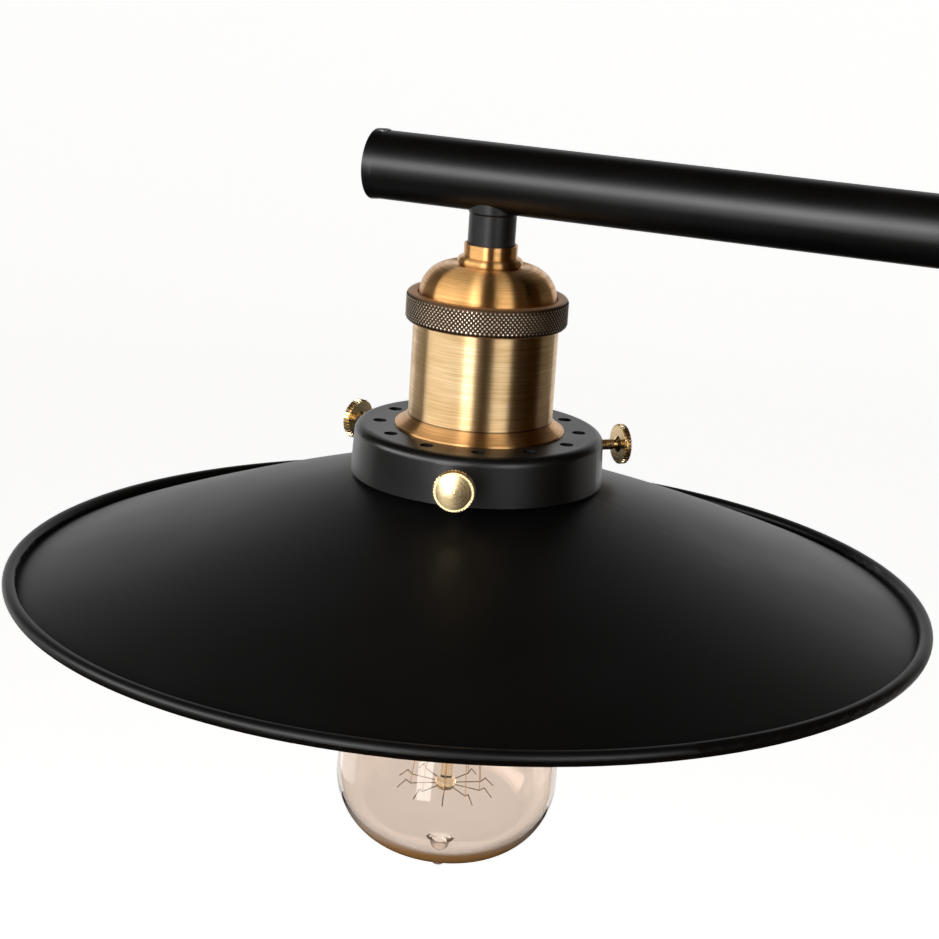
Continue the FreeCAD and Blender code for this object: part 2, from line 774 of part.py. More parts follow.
def make_leads():
    """Two insulated leads from the lampholder, up the stem and along the bar."""
    leads = []
    for side in (-1, 1):
        y = side * lead_spread
        foot = lamp_z + insert_top + terminal_height
        splice = V(lamp_x, y, bar_axis - bar_radius)
        leads.append(bent_rod(lead_radius, [
            V(lamp_x, side * terminal_spread, foot),
            V(lamp_x, side * terminal_spread, foot + lead_rise),
            V(lamp_x, y, foot + lead_slope),
            splice,
        ], lead_bend_low))
        upper = bent_rod(lead_radius, [
            splice,
            V(lamp_x, y, bar_axis),
            V(-connector_size[0] / 2 + lead_grip, y, bar_axis),
        ], lead_bend)
        leads[-1] = leads[-1].fuse(upper).removeSplitter()
    return Part.makeCompound(leads)


def make_bar():
    body = rod(bar_radius, V(lamp_x - bar_overhang + bar_plug_head, 0, bar_axis), V(1, 0, 0),
               arm_reach + bar_overhang - bar_plug_head + bar_end)
    body = body.cut(rod(bar_radius - bar_wall, V(lamp_x - bar_overhang, 0, bar_axis), V(1, 0, 0),
                        arm_reach + bar_overhang + boss_reach))
    return body.cut(disc(nipple_bore, bar_axis - 2 * bar_radius, bar_axis, lamp_x))


def make_bar_plug():
    """Plug that closes the free end of the bar."""
    head_x = lamp_x - bar_overhang
    head = rod(bar_radius + bar_plug_proud, V(head_x, 0, bar_axis), V(1, 0, 0), bar_plug_head)
    front = [edge for edge in head.Edges
             if isinstance(edge.Curve, Part.Circle) and edge.Curve.Center.x < head_x + same_length]
    head = head.makeFillet(bar_plug_round, front)
    spigot = rod(bar_radius - bar_wall, V(head_x + bar_plug_head, 0, bar_axis), V(1, 0, 0), bar_plug_depth)
    return head.fuse(spigot)


# Lampholder, in the lamp's own frame

def make_stem():
    """Short tube welded under the bar, threaded inside for the nipple."""
    weld = stem_weld
    body = turned([
        (thread_radius, bead_top),
        (stem_radius, bead_top),
        (stem_radius, bar_height - bar_radius - weld),
        (stem_radius + weld, bar_height - bar_radius + weld),
        (stem_radius + weld, bar_height),
        (thread_radius, bar_height),
    ])
    along_bar = rod(bar_radius, V(-bar_overhang, 0, bar_height), V(1, 0, 0), 2 * bar_overhang)
    return body.cut(along_bar)


def make_neck_cup():
    """Brass cup round the foot of the stem, with a bead below."""
    middle = (cap_top + bead_top) / 2
    seat = thread_radius + thread_gap
    shoulder = bead_radius - bead_shoulder
    return turned([
        (seat, cap_top),
        (shoulder, cap_top),
        (bead_radius, middle, shoulder, bead_top),
        (cup_radius, bead_top + cup_step),
        (cup_radius, cup_top),
        (cup_radius - cup_wall, cup_top),
        (cup_radius - cup_wall, bead_top),
        (seat, bead_top),
    ])


def make_nipple():
    """Hollow threaded tube that hangs the lampholder from the stem."""
    low = cap_top - cap_wall - lock_washer_height - hex_nut_height - nipple_show
    high = bar_height - bar_radius - nipple_show
    return ring(nipple_bore, thread_radius - thread_gap, low, high)


def make_cap_nut():
    high = cap_top - cap_wall - lock_washer_height
    return hex_nut(hex_nut_flats, thread_radius, high - hex_nut_height, high)


def make_lock_washer():
    high = cap_top - cap_wall
    return ring(thread_radius + thread_gap, lock_washer_radius, high - lock_washer_height, high)


def make_dome_cap():
    """Spun cap over the wiring, held down by the ring on its flange."""
    flange_radius = barrel_radius - cap_flange_step
    flange_top = barrel_top + cap_wall
    flat = bead_radius - cap_flat_step
    hole = thread_radius + thread_gap
    side_low = ring_high
    span = cap_radius - flat
    rise = cap_top - side_low
    chord = math.hypot(span, rise)
    bend = (flat + cap_bend[0] * span, side_low + cap_bend[1] * rise)
    inner_bend = (bend[0] - cap_wall * rise / chord, bend[1] - cap_wall * span / chord)
    return turned([
        (cap_radius - cap_wall, barrel_top),
        (flange_radius, barrel_top),
        (flange_radius, flange_top),
        (cap_radius, flange_top),
        (cap_radius, side_low),
        bend + (flat, cap_top),
        (hole, cap_top),
        (hole, cap_top - cap_wall),
        (flat, cap_top - cap_wall),
        inner_bend + (cap_radius - cap_wall, side_low),
    ])


def make_knurled_ring():
    """Ring nut that joins the cap to the barrel."""
    bore = barrel_radius + thread_gap
    lip_bore = cap_radius + loose_gap
    lip_low = ring_high - ring_lip
    return turned([
        (bore, ring_low),
        (ring_radius - ring_chamfer, ring_low),
        (ring_radius, ring_low + ring_chamfer),
        (ring_radius, ring_high - ring_chamfer),
        (ring_radius - ring_chamfer, ring_high),
        (lip_bore, ring_high),
        (lip_bore, lip_low),
        (bore, lip_low),
    ])


def make_barrel():
    """Brass shell of the lampholder, with a flared skirt at its foot."""
    skirt_top = gallery_top + skirt_height
    spread = skirt_radius - barrel_radius
    fall = skirt_height - skirt_edge
    return turned([
        (barrel_bore, gallery_top),
        (skirt_radius, gallery_top),
        (skirt_radius, gallery_top + skirt_edge),
        (barrel_radius + spread * skirt_bend[0], gallery_top + skirt_edge + fall * skirt_bend[1],
         barrel_radius, skirt_top),
        (barrel_radius, barrel_top),
        (barrel_bore, barrel_top),
    ])


def make_gallery_bush():
    """Threaded bush that clamps the gallery up against the barrel."""
    flange_radius = barrel_bore + bush_flange
    flange_high = gallery_top - gallery_wall
    return turned([
        (bush_bore, bush_low - bush_tail),
        (bush_radius, bush_low - bush_tail),
        (bush_radius, bush_low),
        (flange_radius, bush_low),
        (flange_radius, flange_high),
        (bush_radius, flange_high),
        (bush_radius, bush_top),
        (bush_bore, bush_top),
    ])


def make_ceramic_insert():
    """Ceramic body that holds the screw shell and the terminals."""
    body_radius = barrel_bore - loose_gap
    spigot_radius = bush_bore - loose_gap
    body = turned([
        (insert_bore, insert_foot),
        (spigot_radius, insert_foot),
        (spigot_radius, bush_top),
        (body_radius, bush_top),
        (body_radius, insert_top),
        (0, insert_top),
        (0, insert_floor),
        (insert_bore, insert_floor),
    ])
    body = body.cut(disc(contact_rivet_radius, insert_floor - cut_over, insert_top + cut_over))
    for side in (-1, 1):
        body = body.cut(disc(terminal_radius, insert_top - terminal_height, insert_top + cut_over,
                             0, side * terminal_spread))
    return body


def make_screw_shell():
    """Pressed brass thread that takes the bulb's cap."""
    outline = waved_shell(shell_radius, shell_wall, shell_foot, insert_floor - shell_wall)
    wall = turned(outline)
    top = ring(shell_mouth, shell_radius, insert_floor - shell_wall, insert_floor)
    return wall.fuse(top).removeSplitter()


def make_centre_contact():
    """Sprung strip under the ceramic web, held by one rivet."""
    length, width = contact_size
    high = insert_floor
    strip = block(-length / 2, length / 2, -width / 2, width / 2, high - contact_thick, high)
    rivet = disc(contact_rivet_radius, high - contact_thick, insert_top)
    head = disc(contact_head_radius, insert_top, insert_top + contact_rivet_head)
    return strip.fuse(rivet).fuse(head).removeSplitter()


def make_terminal_screws():
    return Part.makeCompound([
        disc(terminal_radius, insert_top - terminal_height, insert_top + terminal_height - touch_gap,
             0, side * terminal_spread)
        for side in (-1, 1)])


def make_gallery():
    """Black cap with a ring of vents and three screw holes."""
    foot_bore = gallery_foot_radius - gallery_wall
    top_bore = gallery_radius - gallery_wall
    hole = barrel_bore + thread_gap
    corner = gallery_round
    lean = corner * (1 - math.cos(math.radians(45)))
    inner_corner = corner - gallery_wall
    inner_lean = inner_corner * (1 - math.cos(math.radians(45)))
    ceiling = gallery_top - gallery_wall
    body = turned([
        (foot_bore, gallery_foot),
        (gallery_foot_radius, gallery_foot),
        (gallery_radius, gallery_top - corner),
        (gallery_radius - lean, gallery_top - lean, gallery_radius - corner, gallery_top),
        (hole, gallery_top),
        (hole, ceiling),
        (top_bore - inner_corner, ceiling),
        (top_bore - inner_lean, ceiling - inner_lean, top_bore, ceiling - inner_corner),
    ])
    for k in range(vent_count):
        spot = around(vent_turn + 360.0 * k / vent_count) * vent_circle
        body = body.cut(disc(vent_radius, ceiling - cut_over, gallery_top + cut_over, spot.x, spot.y))
    for k in range(screw_count):
        out = around(screw_turn + 360.0 * k / screw_count)
        body = body.cut(rod(screw_radius + thread_gap, V(0, 0, screw_height) + out * neck_radius,
                            out, gallery_foot_radius))
    return body


def screw_start():
    """Radius at which the thumbscrew's shank begins, just outside its soft tip."""
    return neck_radius + 2 * touch_gap + tip_length


def make_thumbscrew(index):
    out = around(screw_turn + 360.0 * index / screw_count)
    start = V(0, 0, screw_height) + out * screw_start()
    return thumbscrew(start, out, screw_radius, screw_reach, disc_radius, disc_rim, disc_cone)


def make_screw_tip(index):
    """Soft tip that keeps the screw from marking the shade's neck."""
    out = around(screw_turn + 360.0 * index / screw_count)
    body = rod(tip_radius, V(0, 0, screw_height), out, neck_radius + touch_gap + tip_length)
    return body.cut(disc(neck_radius + touch_gap, screw_height - neck_height, screw_height + neck_height))


def roll_point(turn):
    """Point on the section of the rolled edge, at an angle below its inner side."""
    angle = math.radians(turn)
    return (edge_circle - shade_edge_radius * math.cos(angle), -shade_edge_radius * math.sin(angle))


def make_shade():
    """Spun cone with a straight neck above and an edge rolled round a wire."""
    run = seam_radius - neck_radius
    fall = shade_rise - seam_height
    drop = shade_wall * math.hypot(run, fall) / run
    lip_low = neck_top - neck_lip_height
    inner_foot = shade_rise - drop + shade_wall * fall / run
    top_turn = -90.0
    outer_turn = 180.0
    return turned([
        (neck_radius, shade_rise),
        (neck_radius, lip_low),
        (neck_radius + neck_lip, lip_low + neck_lip),
        (neck_radius + neck_lip, neck_top),
        (neck_radius - shade_wall, neck_top),
        (neck_radius - shade_wall, inner_foot),
        (middle_radius, middle_height - drop) + roll_point(shade_lap_turn),
        roll_point((shade_lap_turn + outer_turn) / 2) + roll_point(outer_turn),
        roll_point(top_turn) + roll_point(shade_seam_turn),
        (middle_radius, middle_height, neck_radius, shade_rise),
    ])


# Bulb, in the lamp's own frame

def glass_mouth(inset):
    """Radius of the glass where it enters the cap."""
    return cap_shell_radius - cap_shell_wall - running_gap - thread_depth - inset


def glass_outline(inset, foot_inset, first_radius):
    """Outline of the glass from near its lowest point up to the cap, moved in by the insets."""
    radius = bulb_radius - inset
    depth = bulb_depth - foot_inset
    shoulder = bulb_shoulder - foot_inset
    widest = glass_low + bulb_depth
    offset = radius - shoulder
    bottom = (offset ** 2 + depth ** 2 - shoulder ** 2) / (2 * (depth - shoulder))
    bottom_centre = widest - depth + bottom
    length = math.hypot(offset, widest - bottom_centre)
    join = (bottom * offset / length, bottom_centre + bottom * (widest - bottom_centre) / length)
    first_angle = math.asin(first_radius / bottom)
    low_angle = (first_angle + math.atan2(join[0], bottom_centre - join[1])) / 2
    first = (first_radius, bottom_centre - bottom * math.cos(first_angle))
    low_middle = (bottom * math.sin(low_angle), bottom_centre - bottom * math.cos(low_angle))
    start_angle = math.atan2(join[1] - widest, join[0] - offset) / 2
    side_middle = (offset + shoulder * math.cos(start_angle), widest + shoulder * math.sin(start_angle))
    bend = bulb_upper_bend - inset
    taper = math.radians(bulb_taper)
    bend_end = (radius - bend + bend * math.cos(taper), widest + bend * math.sin(taper))
    bend_middle = (radius - bend + bend * math.cos(taper / 2), widest + bend * math.sin(taper / 2))
    neck = bulb_neck_radius - inset
    neck_height_here = bend_end[1] + (bend_end[0] - neck) / math.tan(taper)
    mouth = glass_mouth(inset)
    return [
        first,
        low_middle + join,
        side_middle + (radius, widest),
        bend_middle + bend_end,
        (neck, neck_height_here),
        (neck, cap_shell_foot - glass_shoulder),
        (mouth, cap_shell_foot),
        (mouth, glass_top),
    ]


def leaning(shape):
    """Tilts a piece of the bulb's inside about the middle of its cap's mouth."""
    moved = shape.copy()
    moved.rotate(V(0, 0, cap_shell_foot), around(bulb_lean_turn).cross(UP), bulb_lean)
    return moved


def make_bulb_glass():
    """Blown glass envelope with the sealed pip at its foot."""
    outer = glass_outline(0, 0, pip_radius * pip_root)
    inner = glass_outline(glass_wall, glass_foot_wall, 0)
    top = (0, outer[-1][1])
    pip = [
        (0, glass_low - pip_length),
        (pip_radius * pip_tip[0], glass_low - pip_length * pip_tip[1],
         pip_radius * pip_side[0], glass_low - pip_length * pip_side[1]),
    ]
    return turned(pip + outer + [top]).cut(turned(inner + [top]))


def make_bulb_cap():
    """Thin pressed shell of the screw cap, over the glass's mouth."""
    high = cap_shell_top
    thread_low = high - cap_thread_length
    outline = waved_shell(cap_shell_radius, cap_shell_wall, thread_low, high)
    wall = turned(outline)
    skirt = ring(cap_shell_radius - cap_shell_wall, cap_shell_radius, cap_shell_foot, thread_low)
    lid = ring(cap_lid_hole, cap_shell_radius, high, high + cap_shell_wall)
    return wall.fuse(skirt).fuse(lid).removeSplitter()


def make_cap_insulator():
    low = cap_shell_top + cap_shell_wall
    high = cap_shell_top + insulator_height
    return turned([
        (0, low),
        (insulator_radius, low),
        (button_radius + insulator_lip, high),
        (0, high),
    ])


def make_contact_button():
    low = cap_shell_top + insulator_height
    high = low + button_height
    return turned([
        (0, low),
        (button_radius, low),
        (button_radius, low + button_height * button_side),
        (button_radius * button_bend[0], low + button_height * button_bend[1],
         button_radius * button_flat, high),
        (0, high),
    ])


def make_glass_mount():
    """Glass foot fused into the bulb's mouth, and the rod that carries the two hubs."""
    flare = glass_mouth(glass_wall)
    low = glass_top - mount_length
    return turned([
        (0, hub_height - hub_half_height),
        (mount_rod_radius, hub_height - hub_half_height),
        (hub_radius, hub_height, mount_rod_radius, hub_height + hub_half_height),
        (mount_rod_radius, top_hub_height - hub_half_height),
        (hub_radius, top_hub_height, mount_rod_radius, top_hub_height + hub_half_height),
        (mount_rod_radius, low),
        (mount_press[0], low + mount_press[1]),
        (mount_waist[0], low + mount_waist[1]),
        (flare, glass_top - glass_shoulder),
        (flare, glass_top),
        (0, glass_top),
    ])


def hook_turns():
    return [360.0 * k / hook_count for k in range(hook_count)]


def hook_wires(height, reach, side):
    """Thin support wires that stand out level from a hub, each with a kinked end.

    The kink's peak points up where side is 1 and down where it is -1.
    """
    valley = reach - hook_tail
    wires = []
    for turn in hook_turns():
        out = around(turn)
        spots = [
            V(0, 0, height) + out * (hub_radius + 2 * touch_gap),
            V(0, 0, height) + out * valley,
            V(0, 0, height + side * hook_lift) + out * (valley + hook_kink),
            V(0, 0, height - side * hook_end_drop) + out * reach,
        ]
        wire = Part.makeSphere(hook_radius, spots[1]).fuse(Part.makeSphere(hook_radius, spots[2]))
        for start, end in zip(spots, spots[1:]):
            wire = wire.fuse(rod(hook_radius, start, end - start, (end - start).Length))
        wires.append(wire.removeSplitter())
    return Part.makeCompound(wires)


def make_bottom_hooks():
    return hook_wires(hub_height, hook_reach, 1)


def make_top_hooks():
    return hook_wires(top_hub_height, top_hook_reach, -1)


def make_filament():
    """Straight strands strung between the top and the bottom hooks."""
    strands = []
    for turn in hook_turns():
        out = around(turn)
        low = V(0, 0, hub_height + filament_gap) + out * (hook_reach - hook_tail)
        high = V(0, 0, top_hub_height - filament_gap) + out * (top_hook_reach - hook_tail)
        strands.append(rod(filament_radius, low, high - low, (high - low).Length))
    return Part.makeCompound(strands)


def make_feed_wires():
    """Two stiff wires from the glass foot down to the filament."""
    wires = []
    foot = glass_top - mount_length + feed_start
    for side in (-1, 1):
        top = V(side * (mount_rod_radius + 2 * feed_radius + feed_stand), 0, foot)
        low = V(side * (top_hook_reach + feed_past), 0, top_hub_height - feed_drop)
        wires.append(rod(feed_radius, low, top - low, (top - low).Length))
    return Part.makeCompound(wires)


# All pieces, by name
pieces = {
    "ceiling_bracket": make_ceiling_bracket(),
    "canopy": make_canopy(),
    "canopy_screws": make_canopy_screws(),
    "top_nipple": ring(nipple_bore, thread_radius, outer_tube_high, -loose_gap),
    "nipple_nuts": make_nipple_nuts(),
    "terminal_block": make_terminal_block(),
    "block_screws": make_block_screws(),
    "earth_screw": make_earth_screw(),
    "top_coupler": make_coupler(),
    "outer_tube": ring(outer_tube_bore, outer_tube_radius, outer_tube_low, outer_tube_high),
    "clamp_collar": make_clamp_collar(),
    "lower_bush": make_lower_bush(),
    "limit_pin": make_limit_pin(),
    "inner_tube": make_inner_tube(),
    "upper_bush": make_upper_bush(),
    "tube_plug": make_tube_plug(),
    "stop_pin": make_stop_pin(),
    "friction_washer": make_friction_washer(),
    "swivel_spindle": make_spindle(),
    "thrust_washer": make_thrust_washer(),
    "swivel_nut": make_swivel_nut(),
    "clamp_pad": make_clamp_pad(),
    "clamp_screw": make_clamp_screw(),
    "swivel_knuckle": make_knuckle(),
    "bar_grub_screws": make_grub_screws(),
    "knuckle_cover": make_knuckle_cover(),
    "lead_connector": make_connector(),
    "lamp_leads": make_leads(),
    "bar": make_bar(),
    "bar_end_plug": make_bar_plug(),
    "stem": at_lamp(make_stem()),
    "neck_cup": at_lamp(make_neck_cup()),
    "hollow_nipple": at_lamp(make_nipple()),
    "cap_nut": at_lamp(make_cap_nut()),
    "lock_washer": at_lamp(make_lock_washer()),
    "dome_cap": at_lamp(make_dome_cap()),
    "knurled_ring": at_lamp(make_knurled_ring()),
    "barrel": at_lamp(make_barrel()),
    "gallery_bush": at_lamp(make_gallery_bush()),
    "ceramic_insert": at_lamp(make_ceramic_insert()),
    "screw_shell": at_lamp(make_screw_shell()),
    "centre_contact": at_lamp(make_centre_contact()),
    "terminal_screws": at_lamp(make_terminal_screws()),
    "gallery": at_lamp(make_gallery()),
    "shade": at_lamp(make_shade()),
    "bulb_glass": at_lamp(leaning(make_bulb_glass())),
    "bulb_cap": at_lamp(make_bulb_cap()),
    "cap_insulator": at_lamp(make_cap_insulator()),
    "contact_button": at_lamp(make_contact_button()),
    "glass_mount": at_lamp(leaning(make_glass_mount())),
    "bottom_hooks": at_lamp(leaning(make_bottom_hooks())),
    "top_hooks": at_lamp(leaning(make_top_hooks())),
    "filament": at_lamp(leaning(make_filament())),
    "feed_wires": at_lamp(leaning(make_feed_wires())),
}
for index in range(screw_count):
    pieces["thumbscrew_%d" % (index + 1)] = at_lamp(make_thumbscrew(index))
    pieces["screw_tip_%d" % (index + 1)] = at_lamp(make_screw_tip(index))

os.makedirs("parts", exist_ok=True)
for name, shape in pieces.items():
    if not shape.isValid() or min(solid.Volume for solid in shape.Solids) <= 0:
        raise ValueError("piece is not a sound solid: " + name)
    shape.exportStep("parts/" + name + ".step")
    box = shape.BoundBox
    print("%-18s %2d solids %10.1f mm3  x %7.1f %7.1f  z %7.1f %7.1f" % (
        name, len(shape.Solids), shape.Volume, box.XMin, box.XMax, box.ZMin, box.ZMax))
print("lamp axis x %.2f, rolled edge height %.2f, bar axis %.2f" % (lamp_x, lamp_z, bar_axis))
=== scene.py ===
# %% [markdown]
# # Rise and fall pendant light
# A wide black shade hangs from a brass lampholder under the end of a black bar. The bar swings on
# the foot of a telescopic drop rod. The engineering model gives every piece its size and its place,
# so this lesson only dresses it: it loads that model as a fixed frame, paints what already has the
# right shape, and models the few pieces whose look depends on fine relief, such as the knurled ring
# and the milled thumbscrews.

# %% Load the frame
import json
import math

import bpy
from mathutils import Matrix, Vector


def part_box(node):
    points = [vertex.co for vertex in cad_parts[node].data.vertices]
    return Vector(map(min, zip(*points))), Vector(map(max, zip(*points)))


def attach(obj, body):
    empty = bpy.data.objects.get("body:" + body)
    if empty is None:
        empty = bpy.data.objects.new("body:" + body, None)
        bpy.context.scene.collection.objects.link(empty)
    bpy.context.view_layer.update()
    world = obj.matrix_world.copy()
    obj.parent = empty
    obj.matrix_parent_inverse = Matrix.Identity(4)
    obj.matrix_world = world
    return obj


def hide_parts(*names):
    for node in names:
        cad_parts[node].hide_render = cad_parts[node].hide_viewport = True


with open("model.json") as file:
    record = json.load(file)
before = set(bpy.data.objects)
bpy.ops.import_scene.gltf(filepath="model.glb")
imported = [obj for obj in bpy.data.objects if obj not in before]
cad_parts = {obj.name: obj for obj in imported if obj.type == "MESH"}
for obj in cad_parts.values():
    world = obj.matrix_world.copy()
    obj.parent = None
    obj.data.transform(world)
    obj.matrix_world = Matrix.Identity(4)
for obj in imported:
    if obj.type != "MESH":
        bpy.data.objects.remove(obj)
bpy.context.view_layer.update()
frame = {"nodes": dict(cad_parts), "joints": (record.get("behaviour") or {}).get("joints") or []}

nodes = frame["nodes"]

# %% [markdown]
# ## Places taken from the frame
# Everything on the lamp is turned about one upright axis. Its place comes from the boxes of the
# nodes, so the new pieces follow the engineering model if a size changes there.

# %% Lamp axis and heights
MM = 0.001
barrel_low, barrel_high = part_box("barrel")
lamp_axis = Vector(((barrel_low.x + barrel_high.x) / 2, (barrel_low.y + barrel_high.y) / 2, 0))
gallery_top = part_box("gallery")[1].z
roll_radius = 2.0 * MM                  # of the shade's rolled edge
edge_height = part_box("shade")[0].z + roll_radius
print("lamp axis", round(lamp_axis.x, 4), "edge height", round(edge_height, 4))

# %% [markdown]
# ## Camera
# The photograph looks down on the shade by fifteen degrees, from a little to the right of the
# lamp's front, with the camera rolled a few degrees. The lens is a long one, so the circles stay
# nearly similar ellipses. The camera is placed by its distance from the lamp's axis and its height
# over the rim.

# %% Place the camera
camera_turn = math.radians(19.82)       # around the lamp's axis, from the front to the right
camera_distance = 0.67207
camera_rise = 0.21929                   # above the rolled edge
camera_pan = math.radians(0.166)
camera_tilt = math.radians(15.41)
camera_roll = math.radians(3.707)
camera_lens = 95.67                     # millimetres, as is the sensor's width
sensor_width = 36
sight_end = 50

bpy.ops.object.camera_add()
camera = bpy.context.object
camera.name = "photo_camera"
forward = Vector((-math.sin(camera_turn), math.cos(camera_turn), 0))
place = lamp_axis - forward * camera_distance
place.z = edge_height + camera_rise
look = Matrix.Rotation(camera_turn + camera_pan, 4, "Z")
look = look @ Matrix.Rotation(math.pi / 2 - camera_tilt, 4, "X")
camera.matrix_world = Matrix.Translation(place) @ look @ Matrix.Rotation(camera_roll, 4, "Z")
camera.data.lens = camera_lens
camera.data.sensor_width = sensor_width
camera.data.clip_end = sight_end
bpy.context.scene.camera = camera
print("camera at", [round(v, 3) for v in place])

# %% [markdown]
# ## Selecting
# Every tool works on what is selected. These two helpers pick one object, and the corners, edges or
# faces of it that pass a test, such as lying at a height.

# %% Selecting
def select_only(piece):
    bpy.ops.object.select_all(action="DESELECT")
    piece.select_set(True)
    bpy.context.view_layer.objects.active = piece


def select_parts(piece, kind, chosen):
    """Selects vertices, edges or faces by a test, stays in edit mode and returns the count."""
    select_only(piece)
    bpy.ops.object.mode_set(mode="EDIT")
    bpy.ops.mesh.select_mode(type=kind)
    bpy.ops.mesh.select_all(action="DESELECT")
    bpy.ops.object.mode_set(mode="OBJECT")
    mesh = piece.data
    parts = {"VERT": mesh.vertices, "EDGE": mesh.edges, "FACE": mesh.polygons}[kind]
    count = 0
    for part in parts:
        part.select = chosen(part)
        count += part.select
    bpy.ops.object.mode_set(mode="EDIT")
    return count


# %% [markdown]
# ## Studio
# A white sweep surrounds the lamp: a round floor well below it that turns up into a low wall. It is
# a flat disc whose edge is extruded upwards, and the corner between the two is bevelled to a wide
# round, so no line shows behind the lamp.

# %% Sweep
sweep_radius = 6.0
sweep_sides = 96
floor_height = -1.75
sweep_wall = 2.9
sweep_corner = 0.9
corner_steps = 10
level_error = 1e-5

bpy.ops.object.select_all(action="DESELECT")
bpy.ops.mesh.primitive_circle_add(vertices=sweep_sides, radius=sweep_radius, fill_type="NGON",
                                  location=(lamp_axis.x, lamp_axis.y, floor_height))
sweep = bpy.context.object
sweep.name = "studio_sweep"
select_parts(sweep, "EDGE", lambda edge: True)
bpy.ops.mesh.extrude_edges_move(TRANSFORM_OT_translate={"value": (0, 0, sweep_wall)})
bpy.ops.object.mode_set(mode="OBJECT")
on_floor = {vertex.index for vertex in sweep.data.vertices if abs(vertex.co.z) < level_error}
select_parts(sweep, "EDGE", lambda edge: on_floor.issuperset(edge.vertices))
bpy.ops.mesh.bevel(offset=sweep_corner, segments=corner_steps, profile=0.5)
bpy.ops.mesh.normals_make_consistent(inside=True)
bpy.ops.object.mode_set(mode="OBJECT")
bpy.ops.object.shade_smooth()
print("sweep faces", len(sweep.data.polygons))

# %% [markdown]
# ## Node helpers
# Every finish is a tree of nodes. Each helper adds one kind of node and returns its output, so a
# tree can be read like a sum. The first three start an empty material, fill a socket, and work out
# a value from two others.

# %% Node helpers
def bare_material(name):
    """A material whose tree holds the output node alone, and that node's surface."""
    material = bpy.data.materials.new(name)
    material.use_nodes = True
    tree = material.node_tree
    tree.nodes.clear()
    return material, tree, tree.nodes.new("ShaderNodeOutputMaterial").inputs["Surface"]


def feed(tree, socket, value):
    """Links a socket to another one, or sets it to a number or to a colour of three."""
    if isinstance(value, bpy.types.NodeSocket):
        tree.links.new(value, socket)
    elif isinstance(value, tuple):
        socket.default_value = (*value, 1)
    else:
        socket.default_value = value


def combine(tree, operation, first, second):
    """Sum, product or larger of two values."""
    node = tree.nodes.new("ShaderNodeMath")
    node.operation = operation
    feed(tree, node.inputs[0], first)
    feed(tree, node.inputs[1], second)
    return node.outputs[0]


# %% [markdown]
# ## Ground of the picture
# The sweep is pale by its colour and by a plain glow that only camera, glossy and transmission rays
# see, so the picture's ground is white and metal and glass show it, while it lights nothing by
# itself. The glow is less than full, so the floor keeps the shadow.

# %% Sweep paint
sweep_white = (0.86, 0.86, 0.86)
sweep_glow = 0.90

white_ground, tree, surface = bare_material("white_ground")
paint = tree.nodes.new("ShaderNodeBsdfDiffuse")
feed(tree, paint.inputs["Color"], sweep_white)
path = tree.nodes.new("ShaderNodeLightPath")
seen = combine(tree, "ADD", path.outputs["Is Camera Ray"], path.outputs["Is Glossy Ray"])
seen = combine(tree, "ADD", seen, path.outputs["Is Transmission Ray"])
seen.node.use_clamp = True
glow = tree.nodes.new("ShaderNodeEmission")
feed(tree, glow.inputs["Strength"], combine(tree, "MULTIPLY", seen, sweep_glow))
both = tree.nodes.new("ShaderNodeAddShader")
tree.links.new(paint.outputs[0], both.inputs[0])
tree.links.new(glow.outputs[0], both.inputs[1])
tree.links.new(both.outputs[0], surface)
sweep.data.materials.append(white_ground)
print("sweep glow", sweep_glow)

# %% [markdown]
# Beyond the sweep's low wall the camera sees plain white. Everything else gets only a faint warm
# light from there, so that no side of the lamp goes quite black. Light Path tells the two apart,
# and its 0 or 1 is spread over two strengths and two colours.

# %% Surroundings
MIX_FACTOR, MIX_FIRST, MIX_SECOND = 0, 6, 7     # inputs of a Mix node that mixes colours
MIX_RESULT = 2                                  # and its output
surround_light = 0.02
surround_tint = (1, 0.55, 0.2)
plain_white = (1, 1, 1)


def spread(tree, value, low, high, start=0.35, end=0.65):
    """Maps start to end onto low to high; the usual start and end are the middle of a noise."""
    level = tree.nodes.new("ShaderNodeMapRange")
    level.inputs["From Min"].default_value = start
    level.inputs["From Max"].default_value = end
    level.inputs["To Min"].default_value = low
    level.inputs["To Max"].default_value = high
    tree.links.new(value, level.inputs["Value"])
    return level.outputs[0]


def blend_colours(tree, value, first, second):
    """Colour between two, by a value from 0 to 1."""
    mix = tree.nodes.new("ShaderNodeMix")
    mix.data_type = "RGBA"
    feed(tree, mix.inputs[MIX_FACTOR], value)
    feed(tree, mix.inputs[MIX_FIRST], first)
    feed(tree, mix.inputs[MIX_SECOND], second)
    return mix.outputs[MIX_RESULT]


world = bpy.data.worlds.new("studio")
bpy.context.scene.world = world
world.use_nodes = True
tree = world.node_tree
ground = tree.nodes["Background"]
seen = tree.nodes.new("ShaderNodeLightPath").outputs["Is Camera Ray"]
feed(tree, ground.inputs["Strength"], spread(tree, seen, surround_light, 1, 0, 1))
feed(tree, ground.inputs["Color"], blend_colours(tree, seen, surround_tint, plain_white))
print("surround", surround_light)

# %% [markdown]
# ## Dark walls
# Brass and satin paint show their form by what they reflect, and in the photograph most of that is
# dark: only two soft lights stand out. So dark cloth hangs round the lamp on three sides and lies
# under it, open towards the back, where the metal sees the white sweep. The cloth shows in
# reflections alone. The camera, shadows and plain light pass it, so it is no part of the picture's
# ground.

# %% Dark cloth
cloth_radius = 1.9
cloth_sides = 90
cloth_low = -1.66
cloth_high = 1.35
cloth_open = math.radians(40)           # half of the gap behind the lamp
# the cloth is no black: it glows faintly brown in this colour, a painted reflection of warm dark
# surroundings
cloth_tone = (0.030, 0.016, 0.004)

# a faint brown glow, seen only in reflections
dark_cloth, tree, surface = bare_material("dark_cloth")
glow = tree.nodes.new("ShaderNodeEmission")
feed(tree, glow.inputs["Color"], cloth_tone)
tree.links.new(glow.outputs[0], surface)


